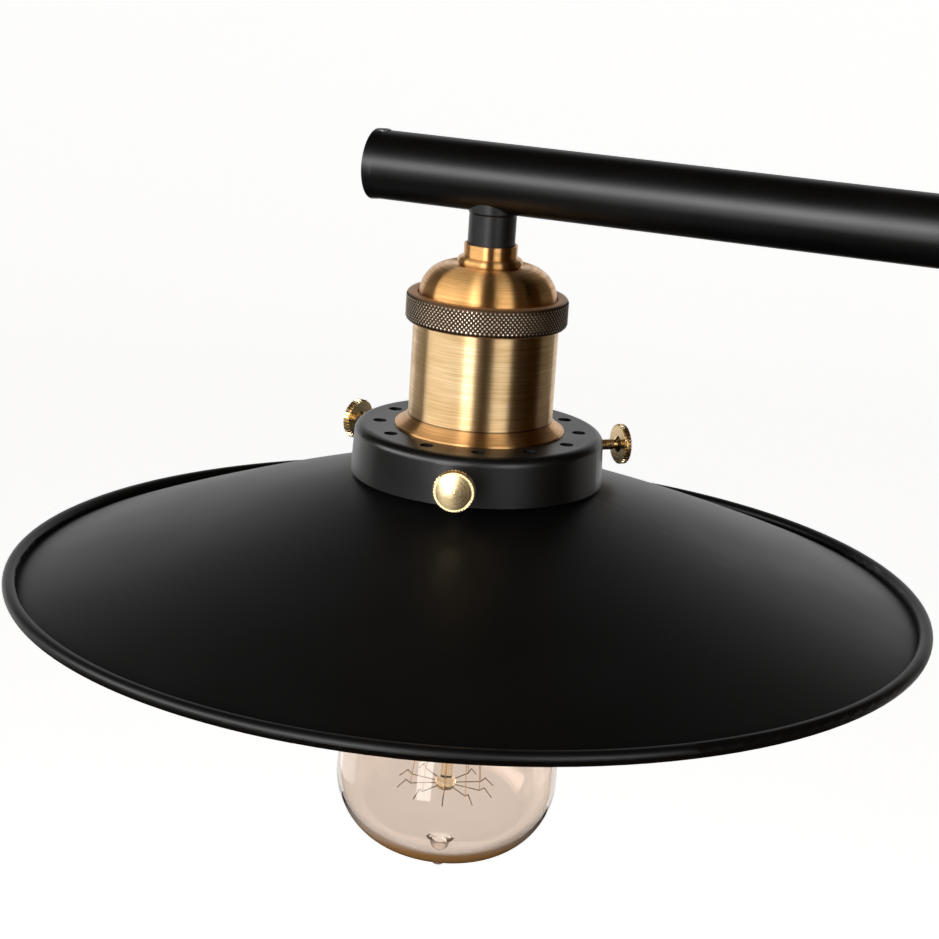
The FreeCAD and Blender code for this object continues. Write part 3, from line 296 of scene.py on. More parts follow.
def hang_cloth(piece, name, cloth):
    """Names a studio piece and keeps it to reflections."""
    piece.name = name
    piece.data.materials.append(cloth)
    piece.visible_camera = False
    piece.visible_diffuse = False
    piece.visible_transmission = False
    piece.visible_shadow = False


bpy.ops.object.select_all(action="DESELECT")
bpy.ops.mesh.primitive_circle_add(vertices=cloth_sides, radius=cloth_radius, fill_type="NGON",
                                  location=(lamp_axis.x, lamp_axis.y, cloth_low))
hang_cloth(bpy.context.object, "cloth_below", dark_cloth)

bpy.ops.object.select_all(action="DESELECT")
bpy.ops.mesh.primitive_cylinder_add(
    vertices=cloth_sides, radius=cloth_radius, depth=cloth_high - cloth_low,
    end_fill_type="NOTHING", location=(lamp_axis.x, lamp_axis.y, (cloth_low + cloth_high) / 2))
cloth_wall = bpy.context.object
behind = math.cos(cloth_open)
select_parts(cloth_wall, "FACE", lambda face: face.center.normalized().dot(forward) > behind)
bpy.ops.mesh.delete(type="FACE")
bpy.ops.object.mode_set(mode="OBJECT")
hang_cloth(cloth_wall, "cloth_wall", dark_cloth)
print("cloth faces", len(cloth_wall.data.polygons))

# %% [markdown]
# ## Glow behind
# The flanks of the shade look grey and darken slowly towards the front. They mirror the room
# straight behind the lamp, from just above the horizon at the flanks to half way up at the front.
# So a screen stands there whose glow fades upwards. Like the cloth it shows in reflections alone.

# %% Fading screen
screen_distance = 4.0
screen_low = 0.45
screen_high = 4.2
screen_width = 4.4
screen_glow = 0.68                      # at its foot


def object_height(tree):
    """Height of the point in the model's frame."""
    spot = tree.nodes.new("ShaderNodeTexCoord")
    parts = tree.nodes.new("ShaderNodeSeparateXYZ")
    tree.links.new(spot.outputs["Object"], parts.inputs[0])
    return parts.outputs["Z"]


bpy.ops.object.select_all(action="DESELECT")
bpy.ops.mesh.primitive_plane_add(size=1, location=(0, 0, 0))
screen = bpy.context.object
bpy.ops.object.mode_set(mode="EDIT")
bpy.ops.transform.resize(value=(screen_width, screen_high - screen_low, 1))
bpy.ops.object.mode_set(mode="OBJECT")
stand = Matrix.Rotation(camera_turn, 4, "Z") @ Matrix.Rotation(math.pi / 2, 4, "X")
middle = lamp_axis + forward * screen_distance
middle.z = (screen_low + screen_high) / 2
screen.data.transform(Matrix.Translation(middle) @ stand)

fading, tree, surface = bare_material("fading_glow")
fade = spread(tree, object_height(tree), screen_glow, 0, screen_low, screen_high)
fade.node.interpolation_type = "SMOOTHERSTEP"
glow = tree.nodes.new("ShaderNodeEmission")
feed(tree, glow.inputs["Strength"], fade)
tree.links.new(glow.outputs[0], surface)
hang_cloth(screen, "fading_screen", fading)
print("screen at", [round(v, 2) for v in middle])

# %% [markdown]
# ## Lamps
# In the photograph a wide soft light stands to the left of the camera, with a tall bright panel
# between it and the lens, and a narrower light to the right. The dark gap between the panel and the
# right light is the dark band on the barrel. The wide one is low and level, because the bar shows
# it as one soft line along its middle. Two dim cards behind the lamp lift the edges of the gallery
# and of the side screws. All are rectangles that face the lamp, and the camera doesn't see them.

# %% Soft lights
target = Vector((lamp_axis.x, lamp_axis.y, gallery_top))
soft_lights = [
    # name, degrees right of the camera, degrees up, distance, width, height, radiance
    ("left_softbox", -58, 15, 1.30, 2.30, 0.54, 6.6),
    ("left_inner", -22, 9, 1.15, 0.32, 1.30, 5.0),
    ("right_strip", 29, 14, 1.30, 0.60, 0.72, 4.9),
    ("left_back_card", -128, -12, 1.30, 0.90, 0.60, 0.8),
    ("right_back_card", 118, -10, 1.30, 0.80, 0.60, 0.35),
]
for name, turn, rise, distance, width, height, radiance in soft_lights:
    angle = camera_turn + math.radians(turn)
    up = math.radians(rise)
    away = Vector((math.sin(angle) * math.cos(up), -math.cos(angle) * math.cos(up), math.sin(up)))
    bpy.ops.object.light_add(type="AREA", location=target + away * distance)
    light = bpy.context.object
    light.name = name
    light.rotation_euler = (-away).to_track_quat("-Z", "Y").to_euler()
    light.data.shape = "RECTANGLE"
    light.data.size = width
    light.data.size_y = height
    light.data.energy = radiance * math.pi * width * height
    light.visible_camera = False
    print(name, [round(v, 2) for v in light.location], "watts", round(light.data.energy, 1))

# %% [markdown]
# ## Paint and metal
# These helpers start a finish and give it a grain. The grain is a noise that may be stretched along
# an axis, and it can change the colour, the roughness or the height of the surface. It reads Object
# coordinates, which are metres in the model's own frame, so a grain of half a millimetre is a noise
# of scale two thousand.

# %% Material helpers
def start_finish(name, colour, metallic, roughness):
    """A material with its shader's plain values set, its tree and its shader."""
    finish = bpy.data.materials.new(name)
    finish.use_nodes = True
    shader = finish.node_tree.nodes["Principled BSDF"]
    shader.inputs["Base Color"].default_value = (*colour, 1)
    shader.inputs["Metallic"].default_value = metallic
    shader.inputs["Roughness"].default_value = roughness
    return finish, finish.node_tree, shader


def object_grain(tree, scale, stretch=(1, 1, 1), detail=3, shift=(0, 0, 0)):
    """Noise on Object coordinates, in grains per metre along each axis."""
    spot = tree.nodes.new("ShaderNodeTexCoord")
    mapping = tree.nodes.new("ShaderNodeMapping")
    mapping.inputs["Location"].default_value = shift
    mapping.inputs["Scale"].default_value = stretch
    noise = tree.nodes.new("ShaderNodeTexNoise")
    noise.inputs["Scale"].default_value = scale
    noise.inputs["Detail"].default_value = detail
    tree.links.new(spot.outputs["Object"], mapping.inputs["Vector"])
    tree.links.new(mapping.outputs[0], noise.inputs["Vector"])
    return noise.outputs["Fac"]


def raise_grain(tree, shader, value, depth):
    """Relief from a value; depth is in metres."""
    bump = tree.nodes.new("ShaderNodeBump")
    bump.inputs["Distance"].default_value = depth
    bump.inputs["Strength"].default_value = 1.0
    tree.links.new(value, bump.inputs["Height"])
    tree.links.new(bump.outputs[0], shader.inputs["Normal"])


# %% [markdown]
# ### Black paint
# The shade, the gallery, the bar and the stem are sprayed satin black. Sprayed paint is never quite
# even: it has a fine grain that breaks up highlights and slow clouds of duller and shinier film.
# The gallery and the stem are small and were sprayed rougher than the shade.

# %% Black paint
cloud_scale = 35
cloud_dark = (0.8, 0.8, 0.8)            # shares of the paint's own tone
cloud_light = (1.2, 1.2, 1.25)


def black_paint(name, tone=0.0012, roughness=(0.41, 0.44), depth=0.008 * MM, grains=2200,
                gloss=0.31):
    """Nearly black paint: grains per metre and their depth make its relief."""
    finish, tree, shader = start_finish(name, (tone, tone, tone), 0, roughness[0])
    shader.inputs["Specular IOR Level"].default_value = gloss
    clouds = object_grain(tree, cloud_scale, detail=4)
    feed(tree, shader.inputs["Roughness"], spread(tree, clouds, *roughness))
    darker = tuple(tone * share for share in cloud_dark)
    lighter = tuple(tone * share for share in cloud_light)
    colour = blend_colours(tree, spread(tree, clouds, 0, 1), darker, lighter)
    feed(tree, shader.inputs["Base Color"], colour)
    raise_grain(tree, shader, object_grain(tree, grains, detail=2), depth)
    return finish


satin_black = black_paint("satin_black")
grained_black = black_paint("grained_black", roughness=(0.32, 0.38), depth=0.02 * MM,
                            grains=1600, gloss=0.45)
stem_black = black_paint("stem_black", tone=0.0015, roughness=(0.38, 0.46), depth=0.03 * MM,
                         grains=1300, gloss=0.4)
bar_black = black_paint("bar_black", roughness=(0.33, 0.37), gloss=0.4)
print("painted", satin_black.name, grained_black.name, stem_black.name, bar_black.name)

# %% [markdown]
# ### Aged brass
# The lampholder is brass with a brown lacquer, rubbed back in the lathe. The rubbing leaves fine
# lines round the axis, and the lacquer is thicker in some places, so copper brown and pale gold
# alternate. The lines are a noise that is very fine in height and slow round the piece. At the foot
# of the barrel the lacquer was left on, so the flared skirt is copper, and a thin dark line of
# painted shade runs round the crease where the skirt meets the barrel.

# %% Aged brass
barrel_pale = (0.82, 0.62, 0.36)
barrel_brown = (0.56, 0.33, 0.13)
dome_pale = (0.78, 0.46, 0.18)
dome_brown = (0.52, 0.26, 0.08)
skirt_pale = (0.80, 0.47, 0.19)
skirt_brown = (0.56, 0.28, 0.10)
# colour of the painted shade line in the crease above the skirt
crease_shade_tone = (0.16, 0.08, 0.03)
crease_shade_half = 0.35 * MM                   # half of the painted shade line's width
skirt_height = 3.4 * MM
skirt_fade = 0.3 * MM                   # the copper fades below the line
skirt_edge = 0.1 * MM                   # and ends just above it
rubbed_lines = (60, 60, 4200)           # per metre along each axis
lacquer_clouds = 60
stroke_share = 0.6                      # how far the lines turn the tone from pale to brown
cloud_share = 0.3                       # and how far the lacquer's clouds do
brass_roughness = (0.38, 0.46)
brass_relief = 0.004 * MM
quarter_turn = 0.25


def aged_brass(name, pale, brown, foot=None):
    """Brass rubbed round an upright axis: reflections run up and down it, and hardly round it."""
    finish, tree, shader = start_finish(name, pale, 1, brass_roughness[0])
    shader.inputs["Anisotropic"].default_value = 1
    shader.inputs["Anisotropic Rotation"].default_value = quarter_turn
    about = tree.nodes.new("ShaderNodeTangent")
    about.direction_type = "RADIAL"
    about.axis = "Z"
    tree.links.new(about.outputs[0], shader.inputs["Tangent"])
    strokes = object_grain(tree, 1, stretch=rubbed_lines, detail=4, shift=(0, 0, 7))
    clouds = object_grain(tree, lacquer_clouds, stretch=(1, 1, 3))
    lacquer = combine(tree, "ADD", spread(tree, strokes, 0, stroke_share),
                      spread(tree, clouds, 0, cloud_share))
    colour = blend_colours(tree, lacquer, pale, brown)
    if foot:
        height = object_height(tree)
        skirt = spread(tree, height, 1, 0, foot - skirt_fade, foot + skirt_edge)
        copper = blend_colours(tree, lacquer, skirt_pale, skirt_brown)
        colour = blend_colours(tree, skirt, colour, copper)
        # a thin dark line of painted shade in the crease where the skirt meets the barrel
        below = spread(tree, height, 0, 1, foot - crease_shade_half, foot)
        above = spread(tree, height, 1, 0, foot, foot + crease_shade_half)
        colour = blend_colours(tree, combine(tree, "MULTIPLY", below, above), colour, crease_shade_tone)
    feed(tree, shader.inputs["Base Color"], colour)
    feed(tree, shader.inputs["Roughness"], spread(tree, strokes, *brass_roughness))
    raise_grain(tree, shader, strokes, brass_relief)
    return finish


barrel_brass = aged_brass("barrel_brass", barrel_pale, barrel_brown, gallery_top + skirt_height)
dome_brass = aged_brass("dome_brass", dome_pale, dome_brown)
print("brass", barrel_brass.name, dome_brass.name)

# %% [markdown]
# ### Bright brass, steel, plastic and ceramic
# The small screws are plain polished brass. What lies inside is zinc plated steel, moulded plastic
# and glazed ceramic. They only show when the lamp comes apart, but each has its own grain all the
# same.

# %% Other finishes
slow_share = 0.25                       # of the scale, for the clouds
fine_share = 5                          # and for the relief
cloud_tone = 0.85
cloud_gloss = (0.85, 1.15)              # shares of the roughness


def plain_finish(name, colour, metallic, roughness, scale=400, depth=0.006 * MM):
    """A finish with a slow change of tone and a fine grain."""
    finish, tree, shader = start_finish(name, colour, metallic, roughness)
    clouds = object_grain(tree, scale * slow_share)
    darker = tuple(share * cloud_tone for share in colour)
    tone = blend_colours(tree, spread(tree, clouds, 0, 1), colour, darker)
    feed(tree, shader.inputs["Base Color"], tone)
    shiny, dull = cloud_gloss
    feed(tree, shader.inputs["Roughness"],
         spread(tree, clouds, roughness * shiny, roughness * dull))
    raise_grain(tree, shader, object_grain(tree, scale * fine_share, detail=2), depth)
    return finish


bright_brass = plain_finish("bright_brass", (0.80, 0.58, 0.27), 1, 0.13, 250, 0.003 * MM)
cap_brass = plain_finish("cap_brass", (0.72, 0.58, 0.34), 1, 0.3)
zinc_steel = plain_finish("zinc_steel", (0.56, 0.56, 0.55), 1, 0.32)
dark_steel = plain_finish("dark_steel", (0.22, 0.22, 0.22), 1, 0.35)
white_nylon = plain_finish("white_nylon", (0.80, 0.79, 0.74), 0, 0.5)
black_plastic = plain_finish("black_plastic", (0.03, 0.03, 0.03), 0, 0.5)
glazed_ceramic = plain_finish("glazed_ceramic", (0.86, 0.84, 0.78), 0, 0.15)
brown_sleeve = plain_finish("brown_sleeve", (0.20, 0.11, 0.05), 0, 0.7)
support_wire = plain_finish("support_wire", (0.30, 0.22, 0.14), 1, 0.35)
filament_wire = plain_finish("filament_wire", (0.62, 0.40, 0.18), 1, 0.35)
print("finishes", len(bpy.data.materials))

# %% [markdown]
# ### Bulb glass
# The bulb is blown from faintly amber glass. Where it is looked through square on it only warms the
# ground a little. Towards its outline the eye looks along the wall, through much more glass, and
# the tint gathers into a brown line. Layer Weight gives that change. Round the foot the glass is
# thickest, and the light it bends there shows as a brown crescent at its edge. That crescent is
# painted light: there the outer face passes almost no light and takes the deep colour, lit by the
# lamps. An attribute of the new bulb's mesh tells which face is the outer one.

# %% Bulb glass
glass_ior = 1.47
glass_shine = 0.15
facing_blend = 0.35
rim_facing = (0.55, 1.0)                # from square on, 0, to along the wall, 1
foot_facing = (0.32, 0.46)
foot_fade = (14 * MM, 24 * MM)          # heights over the bulb's lowest point
painted_crescent_share = 0.95                       # share of the painted crescent on the foot's edge that passes no light
bulb_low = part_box("bulb_glass")[0].z


def attribute_value(tree, name):
    """A value that the mesh carries at each of its points."""
    node = tree.nodes.new("ShaderNodeAttribute")
    node.attribute_name = name
    return node.outputs["Fac"]


def amber_glass(name, clear, deep):
    """Glass with one colour where it is looked through square on and one at its edges."""
    finish, tree, shader = start_finish(name, clear, 0, 0)
    shader.inputs["IOR"].default_value = glass_ior
    shader.inputs["Specular IOR Level"].default_value = glass_shine
    weight = tree.nodes.new("ShaderNodeLayerWeight")
    weight.inputs["Blend"].default_value = facing_blend
    facing = weight.outputs["Facing"]
    start, end = foot_fade
    foot = spread(tree, object_height(tree), 1, 0, bulb_low + start, bulb_low + end)
    # painted crescent: the foot's outer face near its edge, drawn in the deep colour and made
    # opaque
    painted_crescent = combine(tree, "MULTIPLY", foot, spread(tree, facing, 0, 1, *foot_facing))
    painted_crescent = combine(tree, "MULTIPLY", painted_crescent, attribute_value(tree, "outer_face"))
    edge = combine(tree, "MAXIMUM", painted_crescent, spread(tree, facing, 0, 1, *rim_facing))
    feed(tree, shader.inputs["Base Color"], blend_colours(tree, edge, clear, deep))
    passing = spread(tree, painted_crescent, 1, 1 - painted_crescent_share, 0, 1)
    feed(tree, shader.inputs["Transmission Weight"], passing)
    return finish


bulb_amber = amber_glass("bulb_amber", (0.85, 0.76, 0.69), (0.31, 0.155, 0.055))
mount_glass = amber_glass("mount_glass", (0.93, 0.80, 0.56), (0.55, 0.36, 0.14))
print("glass", bulb_amber.name, mount_glass.name)

# %% [markdown]
# ## Painting the nodes
# A node whose shape is already right keeps its mesh and gets a finish. The list says what each real
# piece is made of.

# %% Paint the nodes
finish_of = {
    satin_black: ["canopy", "swivel_knuckle", "shade"],
    bar_black: ["bar", "bar_end_plug", "outer_tube", "inner_tube"],
    grained_black: ["gallery"],
    stem_black: ["stem"],
    dome_brass: ["dome_cap", "neck_cup", "top_coupler", "clamp_collar", "tube_plug",
                 "knuckle_cover"],
    barrel_brass: ["barrel", "gallery_bush", "knurled_ring"],
    bright_brass: ["canopy_screws", "limit_pin", "clamp_screw", "earth_screw", "terminal_screws",
                   "thumbscrew_1", "thumbscrew_2", "thumbscrew_3"],
    cap_brass: ["screw_shell", "centre_contact", "bulb_cap", "contact_button"],
    zinc_steel: ["ceiling_bracket", "top_nipple", "nipple_nuts", "block_screws", "stop_pin",
                 "swivel_spindle", "thrust_washer", "swivel_nut", "bar_grub_screws",
                 "hollow_nipple", "cap_nut", "lock_washer"],
    white_nylon: ["terminal_block", "lower_bush", "upper_bush", "friction_washer",
                  "lead_connector"],
    black_plastic: ["clamp_pad", "screw_tip_1", "screw_tip_2", "screw_tip_3", "cap_insulator"],
    glazed_ceramic: ["ceramic_insert"],
    brown_sleeve: ["lamp_leads"],
    support_wire: ["bottom_hooks", "top_hooks", "feed_wires"],
    filament_wire: ["filament"],
    bulb_amber: ["bulb_glass"],
    mount_glass: ["glass_mount"],
}
painted = []
for finish, names in finish_of.items():
    for name in names:
        for slot in nodes[name].material_slots:
            slot.material = finish
    painted += names
print("painted", len(painted), "left", sorted(set(nodes) - set(painted)))

# %% [markdown]
# ## Turned pieces
# Most of the lamp was made in a lathe, so a piece is its half section, turned once round. A vertex
# is extruded from point to point to draw the section, and Spin sweeps it about the axis. The first
# and last copies are then merged, loose edges on the axis deleted and the normals recalculated.

# %% Turning helpers
merge_distance = 0.001 * MM


def turned_piece(name, section, steps):
    """A closed section of (radius, height) points, turned about the Z axis at the origin."""
    bpy.ops.object.select_all(action="DESELECT")
    bpy.ops.mesh.primitive_plane_add(size=1 * MM, location=(0, 0, 0))
    piece = bpy.context.object
    piece.name = name
    bpy.ops.object.mode_set(mode="EDIT")
    bpy.ops.mesh.select_mode(type="VERT")
    bpy.ops.mesh.merge(type="CENTER")
    radius, height = section[0]
    bpy.ops.transform.translate(value=(radius, 0, height))
    ends = section[1:] + section[:1]
    for (radius_a, height_a), (radius_b, height_b) in zip(section, ends):
        step = (radius_b - radius_a, 0, height_b - height_a)
        bpy.ops.mesh.extrude_region_move(TRANSFORM_OT_translate={"value": step})
    bpy.ops.mesh.select_all(action="SELECT")
    bpy.ops.mesh.remove_doubles(threshold=merge_distance)
    bpy.ops.mesh.select_all(action="SELECT")
    bpy.ops.mesh.spin(steps=steps, angle=2 * math.pi, center=(0, 0, 0), axis=(0, 0, 1))
    bpy.ops.mesh.select_all(action="SELECT")
    bpy.ops.mesh.remove_doubles(threshold=merge_distance)
    bpy.ops.mesh.delete_loose()
    bpy.ops.mesh.select_all(action="SELECT")
    bpy.ops.mesh.normals_make_consistent(inside=False)
    bpy.ops.object.mode_set(mode="OBJECT")
    return piece


def cut_grooves(piece, radius, depth, in_groove):
    """Moves the vertices that pass a test in towards the Z axis, by depth at that radius."""
    factor = 1 - depth / radius
    count = select_parts(piece, "VERT", lambda vertex: in_groove(vertex.co))
    bpy.ops.transform.resize(value=(factor, factor, 1), center_override=(0, 0, 0))
    bpy.ops.object.mode_set(mode="OBJECT")
    return count


def finish_piece(piece, body, node, finish, smooth):
    """Smooths and paints a new piece, and puts it in its node's place if it has one."""
    select_only(piece)
    bpy.ops.object.shade_smooth_by_angle(angle=math.radians(smooth))
    piece.data.materials.clear()
    piece.data.materials.append(finish)
    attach(piece, body)
    if node:
        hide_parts(node)
    print(piece.name, "faces", len(piece.data.polygons))


# %% [markdown]
# ## Blown bulb
# The envelope is blown, so its wall is even apart from the foot, where glass gathers round the
# sealed pip. Light bends at both of its faces, and any facet shows, so it is turned much finer than
# the other pieces. Its outline is a row of arcs: a flat round below, the shoulder, a long bend
# above and a straight taper.

# %% Blown glass
glass_box_low, glass_box_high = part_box("bulb_glass")
glass_radius = 31.8 * MM
glass_mouth = 12.25 * MM
glass_lean = math.radians(1.9)          # the glass sits a little askew in its cap
pip_length = 5.6 * MM
pip_root = 4.2 * MM                     # radius where the pip runs into the bottom
glass_low = glass_box_low.z + pip_length
glass_top = glass_box_high.z - glass_mouth * math.sin(glass_lean)
glass_depth = 23.7 * MM                 # from the widest place to the lowest
glass_shoulder = 22.4 * MM
glass_bend = 60.0 * MM
glass_taper = math.radians(13)
glass_neck = 14.0 * MM
glass_in_cap = 5.0 * MM
neck_step = 1.5 * MM
glass_wall = 0.8 * MM
foot_wall = 2.4 * MM
bottom_steps, shoulder_steps, bend_steps, turn_steps = 24, 40, 8, 160


def arc_points(centre, radius, first, last, count):
    """Points on an arc in the section; angles in radians from the outward level."""
    angles = [first + (last - first) * k / count for k in range(count + 1)]
    return [(centre[0] + radius * math.cos(angle), centre[1] + radius * math.sin(angle))
            for angle in angles]


def glass_outline(inset, foot_inset, first_radius):
    """Outline of one face of the glass, from its foot up to the mouth."""
    radius = glass_radius - inset
    depth = glass_depth - foot_inset
    shoulder = glass_shoulder - foot_inset
    widest = glass_low + glass_depth
    offset = radius - shoulder
    bottom = (offset ** 2 + depth ** 2 - shoulder ** 2) / (2 * (depth - shoulder))
    centre = widest - depth + bottom
    join = math.atan2(widest - centre, offset)
    first = -math.acos(first_radius / bottom)
    bend = glass_bend - inset
    neck = glass_neck - inset
    bend_radius = radius - bend + bend * math.cos(glass_taper)
    bend_height = widest + bend * math.sin(glass_taper)
    neck_start = bend_height + (bend_radius - neck) / math.tan(glass_taper)
    outline = arc_points((0, centre), bottom, first, join, bottom_steps)
    outline += arc_points((offset, widest), shoulder, join, 0, shoulder_steps)[1:]
    outline += arc_points((radius - bend, widest), bend, 0, glass_taper, bend_steps)[1:]
    return outline + [
        (neck, neck_start),
        (neck, glass_top - glass_in_cap - neck_step),
        (glass_mouth - inset, glass_top - glass_in_cap),
        (glass_mouth - inset, glass_top),
    ]


# radius and height over the bottom, in millimetres, of the drop that the sealing left
pip = [(0, -5.6), (0.7, -5.52), (1.3, -5.27), (1.86, -4.82), (2.3, -4.2), (2.6, -3.5),
       (2.76, -2.8), (3.0, -1.4)]
outer_face = [(radius * MM, glass_low + height * MM) for radius, height in pip]
outer_face += glass_outline(0, 0, pip_root)
inner_face = glass_outline(glass_wall, foot_wall, 0)
envelope = turned_piece("blown_envelope", outer_face + inner_face[::-1], turn_steps)
print("envelope section", len(outer_face) + len(inner_face), "points")

# %% [markdown]
# A vertex belongs to the outer face if its radius and height are those of a point of the outer
# outline, to within a grid of a hundredth of a millimetre. The mark is an attribute of the mesh.
# Then the glass is leaned a little about the place where it sits in its cap.

# %% Mark the outer face and lean the glass
grid = 0.01 * MM
glass_lean_turn = math.radians(185)


def axis_distance(point):
    return math.hypot(point.x, point.y)


def grid_place(radius, height):
    return round(radius / grid), round(height / grid)


outer_spots = set()
for radius, height in outer_face:
    column, row = grid_place(radius, height)
    outer_spots |= {(column + a, row + b) for a in (-1, 0, 1) for b in (-1, 0, 1)}
outside = envelope.data.attributes.new("outer_face", "FLOAT", "POINT")
for vertex, value in zip(envelope.data.vertices, outside.data):
    spot = grid_place(axis_distance(vertex.co), vertex.co.z)
    value.value = 1.0 if spot in outer_spots else 0.0
print("outer spots", len(outer_spots))

hinge = Vector((0, 0, glass_top - glass_in_cap))
lean_way = Vector((math.cos(glass_lean_turn), math.sin(glass_lean_turn), 0))
lean = Matrix.Rotation(glass_lean, 4, lean_way.cross(Vector((0, 0, 1))))
lean = Matrix.Translation(hinge) @ lean @ Matrix.Translation(-hinge)
envelope.data.transform(Matrix.Translation(lamp_axis) @ lean)
finish_piece(envelope, "bulb", "bulb_glass", bulb_amber, smooth=40)

# %% [markdown]
# ## Knurled ring
# The ring nut is gripped by hand, so a diamond knurl is rolled into it: two sets of slanting
# grooves leave rows of small pyramids. On a wall whose grid has two columns for each pyramid, every
# other vertex of each row is a groove and is scaled inwards. Each quad is then split from groove to
# groove, so that the grooves run on and each tip keeps four flanks.

# %% Knurled ring
ring_low, ring_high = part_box("knurled_ring")
ring_radius = (ring_high.x - ring_low.x) / 2
knurl_count = 112
knurl_rows = 9
knurl_depth = 0.42 * MM
ring_chamfer = 0.5 * MM
ring_lip = 1.4 * MM
ring_bore = 20.1 * MM                   # just outside the barrel
cap_bore = 19.2 * MM                    # just outside the dome
bore_chamfer = 0.3 * MM
flank_share = 0.8                       # of the knurl's depth and the chamfer, at the wall's ends
flat_inset = 1.5 * ring_chamfer
radius_error = 0.01 * MM


def knurled_ring():
    low = ring_low.z
    high = ring_high.z
    wall = high - low - 2 * ring_chamfer
    heights = [low + ring_chamfer + wall * k / (knurl_rows + 1) for k in range(1, knurl_rows + 1)]
    end_radius = ring_radius - knurl_depth * flank_share
    end_inset = ring_chamfer * flank_share
    flat_radius = ring_radius - flat_inset
    piece = turned_piece("knurled_ring_nut", [
        (ring_bore, low),
        (flat_radius, low),
        (end_radius, low + end_inset),
        *[(ring_radius, height) for height in heights],
        (end_radius, high - end_inset),
        (flat_radius, high),
        (cap_bore + bore_chamfer, high),
        (cap_bore, high - bore_chamfer),
        (cap_bore, high - ring_lip),
        (ring_bore, high - ring_lip),
    ], 2 * knurl_count)
    step = math.pi / knurl_count

    def in_groove(co):
        if axis_distance(co) < ring_radius - radius_error:
            return False
        row = min(range(knurl_rows), key=lambda k: abs(heights[k] - co.z))
        column = round(math.atan2(co.y, co.x) / step)
        return (row + column) % 2 == 1

    print("grooves", cut_grooves(piece, ring_radius, knurl_depth, in_groove))
    deepest = ring_radius - knurl_depth
    select_parts(piece, "FACE", lambda face: axis_distance(face.center) > deepest)
    bpy.ops.mesh.quads_convert_to_tris(quad_method="SHORTEST_DIAGONAL")
    bpy.ops.object.mode_set(mode="OBJECT")
    piece.data.transform(Matrix.Translation(lamp_axis))
    return piece


ring = knurled_ring()

# %% [markdown]
# The lacquer stays dark in the grooves and is rubbed off the tips. The distance from the lamp's
# axis says how deep a point lies, so it drives the colour. The two flat faces of the ring, which
# lie nearer to the axis than any groove, keep a brown lacquer.

# %% Knurl finish
groove_brown = (0.06, 0.035, 0.02)
tip_gold = (0.95, 0.85, 0.70)
flat_brown = (0.52, 0.32, 0.18)
groove_share = 0.6                      # of the knurl's depth, where the rubbing starts
tip_depth = 0.02 * MM                   # below the tips, where the brass is bare
flat_edge = (0.55 * MM, 0.45 * MM)      # below the tips, where the flat faces begin
groove_dull, tip_dull = 0.5, 0.25       # roughness
knurl_grains = 3000
knurl_relief = 0.004 * MM


def knurl_brass():
    """Brass that is dark in the knurl's grooves and bare on its tips."""
    finish, tree, shader = start_finish("knurl_brass", tip_gold, 1, tip_dull)
    spot = tree.nodes.new("ShaderNodeTexCoord")
    mapping = tree.nodes.new("ShaderNodeMapping")
    mapping.inputs["Location"].default_value = (-lamp_axis.x, -lamp_axis.y, 0)
    flatten = tree.nodes.new("ShaderNodeVectorMath")
    flatten.operation = "MULTIPLY"
    flatten.inputs[1].default_value = (1, 1, 0)
    length = tree.nodes.new("ShaderNodeVectorMath")
    length.operation = "LENGTH"
    tree.links.new(spot.outputs["Object"], mapping.inputs["Vector"])
    tree.links.new(mapping.outputs[0], flatten.inputs[0])
    tree.links.new(flatten.outputs[0], length.inputs[0])
    radius = length.outputs["Value"]
    groove_end = ring_radius - knurl_depth * groove_share
    rubbed = spread(tree, radius, 0, 1, groove_end, ring_radius - tip_depth)
    colour = blend_colours(tree, rubbed, groove_brown, tip_gold)
    start, end = flat_edge
    flat = spread(tree, radius, 1, 0, ring_radius - start, ring_radius - end)
    feed(tree, shader.inputs["Base Color"], blend_colours(tree, flat, colour, flat_brown))
    feed(tree, shader.inputs["Roughness"], spread(tree, rubbed, groove_dull, tip_dull, 0, 1))
    raise_grain(tree, shader, object_grain(tree, knurl_grains, detail=2), knurl_relief)
    return finish


finish_piece(ring, "union_ring", "knurled_ring", knurl_brass(), smooth=75)

# %% [markdown]
# ## Thumbscrews
# Three brass thumbscrews hold the shade's neck in the gallery, and a larger one clamps the drop
# rod. All are the same form: a threaded shank, and a flat disc with a milled edge. A fine groove
# runs round the disc's face, which rises to a low cone with a dimple where the lathe's centre was.
# One is modelled along the Z axis, the grooves of the milling are scaled inwards, and copies are
# turned to where the nodes are. The mesh keeps each point's distance from the axis for the finish.

# %% Thumbscrew
thread_share = 0.84                     # of the shank's radius, at the thread's roots
point_share = 0.75                      # and at its inner end
neck_share = 0.42                       # of the disc's radius, where the shank joins it
thread_gap = 1.2 * MM                   # between the last turn and the disc
neck_length = 0.8 * MM
disc_bevel = 0.3 * MM
groove_depth = 0.1 * MM                 # of the fine groove in the disc's face
# bevels in from the disc's edge, and share of the groove's depth
face_groove = [(2.8, 0), (3.1, 1), (3.4, 0.7)]
# share of the disc's radius, and depth below the cone's tip
dimple = [(0.12, 0.02 * MM), (0.07, 0), (0.05, 0.1 * MM), (0, 0.12 * MM)]
tooth_steps = 4                         # columns of the mesh to each tooth, one of them a notch


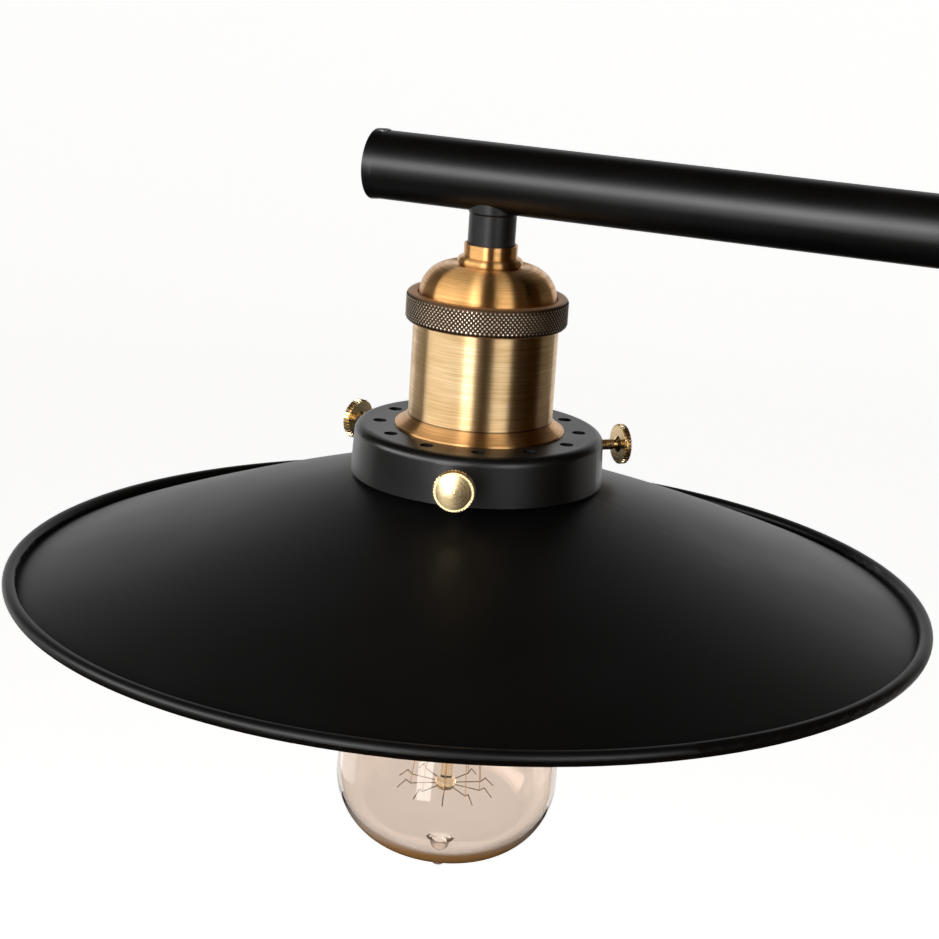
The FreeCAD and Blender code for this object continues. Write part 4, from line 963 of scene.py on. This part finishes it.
def thumbscrew(name, radius, length, disc, rim, cone, pitch, teeth, tooth_depth):
    """Screw along +Z from the origin: shank, then the milled disc."""
    root = radius * thread_share
    face = length + rim
    tip = face + cone
    section = [(0, 0), (radius * point_share, 0)]
    for k in range(int((length - thread_gap) / pitch)):
        section += [(radius, (k + 0.5) * pitch), (root, (k + 1) * pitch)]
    section += [
        (root, length - neck_length),
        (disc * neck_share, length),
        (disc - disc_bevel, length),
        (disc, length + disc_bevel),
        (disc, face - disc_bevel),
        (disc - disc_bevel, face),
    ]
    section += [(disc - bevels * disc_bevel, face - share * groove_depth)
                for bevels, share in face_groove]
    section += [(disc * share, tip - depth) for share, depth in dimple]
    piece = turned_piece(name, section, teeth * tooth_steps)
    step = 2 * math.pi / (teeth * tooth_steps)

    def in_notch(co):
        column = round(math.atan2(co.y, co.x) / step)
        on_edge = axis_distance(co) > disc - disc_bevel - radius_error
        return on_edge and column % tooth_steps == 0

    cut_grooves(piece, disc, tooth_depth, in_notch)
    turned = piece.data.attributes.new("turned_radius", "FLOAT", "POINT")
    for vertex, value in zip(piece.data.vertices, turned.data):
        value.value = axis_distance(vertex.co)
    return piece


small_screw = dict(radius=1.5 * MM, length=10.0 * MM, disc=5.7 * MM, rim=2.0 * MM, cone=0.2 * MM,
                   pitch=0.5 * MM, teeth=38, tooth_depth=0.42 * MM)
large_screw = dict(radius=2.5 * MM, length=10.65 * MM, disc=8.0 * MM, rim=3.0 * MM,
                   cone=1.4 * MM, pitch=0.8 * MM, teeth=44, tooth_depth=0.5 * MM)
screws = [thumbscrew("gallery_screw_1", **small_screw)]
for number in (2, 3):
    copy = screws[0].copy()
    copy.data = screws[0].data.copy()
    copy.name = "gallery_screw_%d" % number
    bpy.context.scene.collection.objects.link(copy)
    screws.append(copy)
clamp = thumbscrew("rod_clamp_screw", **large_screw)
print("screw faces", len(screws[0].data.polygons), "clamp faces", len(clamp.data.polygons))

# %% [markdown]
# The screws are polished, but the lathe's fine circles still show on their faces. A noise that runs
# along the distance from the axis gives them, in relief and in roughness.

# %% Turned brass
turned_gold = (0.88, 0.68, 0.38)
turned_roughness = (0.20, 0.28)
turned_circles = 5200                   # per metre of radius
turned_relief = 0.004 * MM


def turned_brass():
    """Polished brass with the fine circles that the lathe leaves on a face."""
    finish, tree, shader = start_finish("turned_brass", turned_gold, 1, turned_roughness[0])
    noise = tree.nodes.new("ShaderNodeTexNoise")
    noise.noise_dimensions = "1D"
    noise.inputs["Scale"].default_value = turned_circles
    noise.inputs["Detail"].default_value = 3
    feed(tree, noise.inputs["W"], attribute_value(tree, "turned_radius"))
    circles = noise.outputs["Fac"]
    raise_grain(tree, shader, circles, turned_relief)
    feed(tree, shader.inputs["Roughness"], spread(tree, circles, *turned_roughness))
    return finish


screw_brass = turned_brass()
print("brass", screw_brass.name)

# %% [markdown]
# Each gallery screw points outwards along the axis of its joint. The clamp screw points to the
# front. Every screw rides the body that has its node's name.

# %% Put the screws in place
screw_start = 33.0 * MM                 # from the lamp's axis to the inner end of each shank
screw_drop = 6.8 * MM                   # below the gallery's top


def place_screw(piece, node, start, out):
    turn = out.to_track_quat("Z", "Y").to_matrix().to_4x4()
    piece.data.transform(Matrix.Translation(start) @ turn)
    finish_piece(piece, node, node, screw_brass, smooth=35)


axis_of = {joint["name"]: Vector(joint["axis"]) for joint in frame["joints"]}
screw_middle = Vector((lamp_axis.x, lamp_axis.y, gallery_top - screw_drop))
for number, piece in enumerate(screws, 1):
    out = axis_of["screw_%d_travel" % number]
    place_screw(piece, "thumbscrew_%d" % number, screw_middle + out * screw_start, out)

clamp_low, clamp_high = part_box("clamp_screw")
clamp_start = Vector((0, clamp_high.y, (clamp_low.z + clamp_high.z) / 2))
place_screw(clamp, "clamp_screw", clamp_start, Vector((0, -1, 0)))

# %% [markdown]
# ## Bar end
# The bar is closed by a turned plug that is painted together with it, so no seam shows. Its head is
# a little thicker at the front and runs out to the bar's radius.

# %% End plug
bar_low, bar_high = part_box("bar")
plug_low, plug_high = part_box("bar_end_plug")
bar_radius = (bar_high.y - bar_low.y) / 2
head_radius = (plug_high.y - plug_low.y) / 2
head_length = bar_low.x - plug_low.x
plug_length = plug_high.x - plug_low.x
plug_middle = (plug_low + plug_high) / 2
spigot_inset = 1.3 * MM
spigot_radius = bar_radius - spigot_inset
front_round = 0.6 * MM
plug_steps = 96

rounding = []                           # a quarter round in steps of fifteen degrees
for turn in range(0, 91, 15):
    angle = math.radians(turn)
    rounding.append((head_radius - front_round + front_round * math.sin(angle),
                     front_round - front_round * math.cos(angle)))
plug = turned_piece("bar_end_cap", [
    (0, 0),
    *rounding,
    (bar_radius, head_length),
    (spigot_radius, head_length),
    (spigot_radius, plug_length),
    (0, plug_length),
], plug_steps)
along = Matrix.Rotation(math.pi / 2, 4, "Y")
plug.data.transform(Matrix.Translation((plug_low.x, plug_middle.y, plug_middle.z)) @ along)
finish_piece(plug, "arm", "bar_end_plug", bar_black, smooth=35)

# %% [markdown]
# A small flat screw is let into the top of the bar over the plug's head and keeps the plug in. Its
# rim and its low head stand out of the paint by a fraction of a millimetre, with a gap between.

# %% Screw of the end plug
pin_from_end = 2.4 * MM
pin_lift = 0.06 * MM                    # of the gap's floor over the bar's top line
pin_steps = 48

# radius and height over the gap's floor, in millimetres: shank, rim, gap and head
pin_profile = [(0, -0.5), (2.0, -0.5), (2.0, 0.02), (1.85, 0.12), (1.6, 0.12), (1.4, 0), (1.0, 0),
               (0.9, 0.18), (0.5, 0.28), (0, 0.3)]
pin_section = [(radius * MM, height * MM) for radius, height in pin_profile]
pin = turned_piece("end_cap_screw", pin_section, pin_steps)
pin_place = (plug_low.x + pin_from_end, plug_middle.y, plug_middle.z + bar_radius + pin_lift)
pin.data.transform(Matrix.Translation(pin_place))
finish_piece(pin, "arm", None, dark_steel, smooth=35)

# %% [markdown]
# ## Colours
# The light is plain, so the picture needs no film curve: Standard shows each colour about as it is
# written.

# %% Colours as they are written
scene = bpy.context.scene
scene.view_settings.view_transform = "Standard"
print("view transform", scene.view_settings.view_transform)
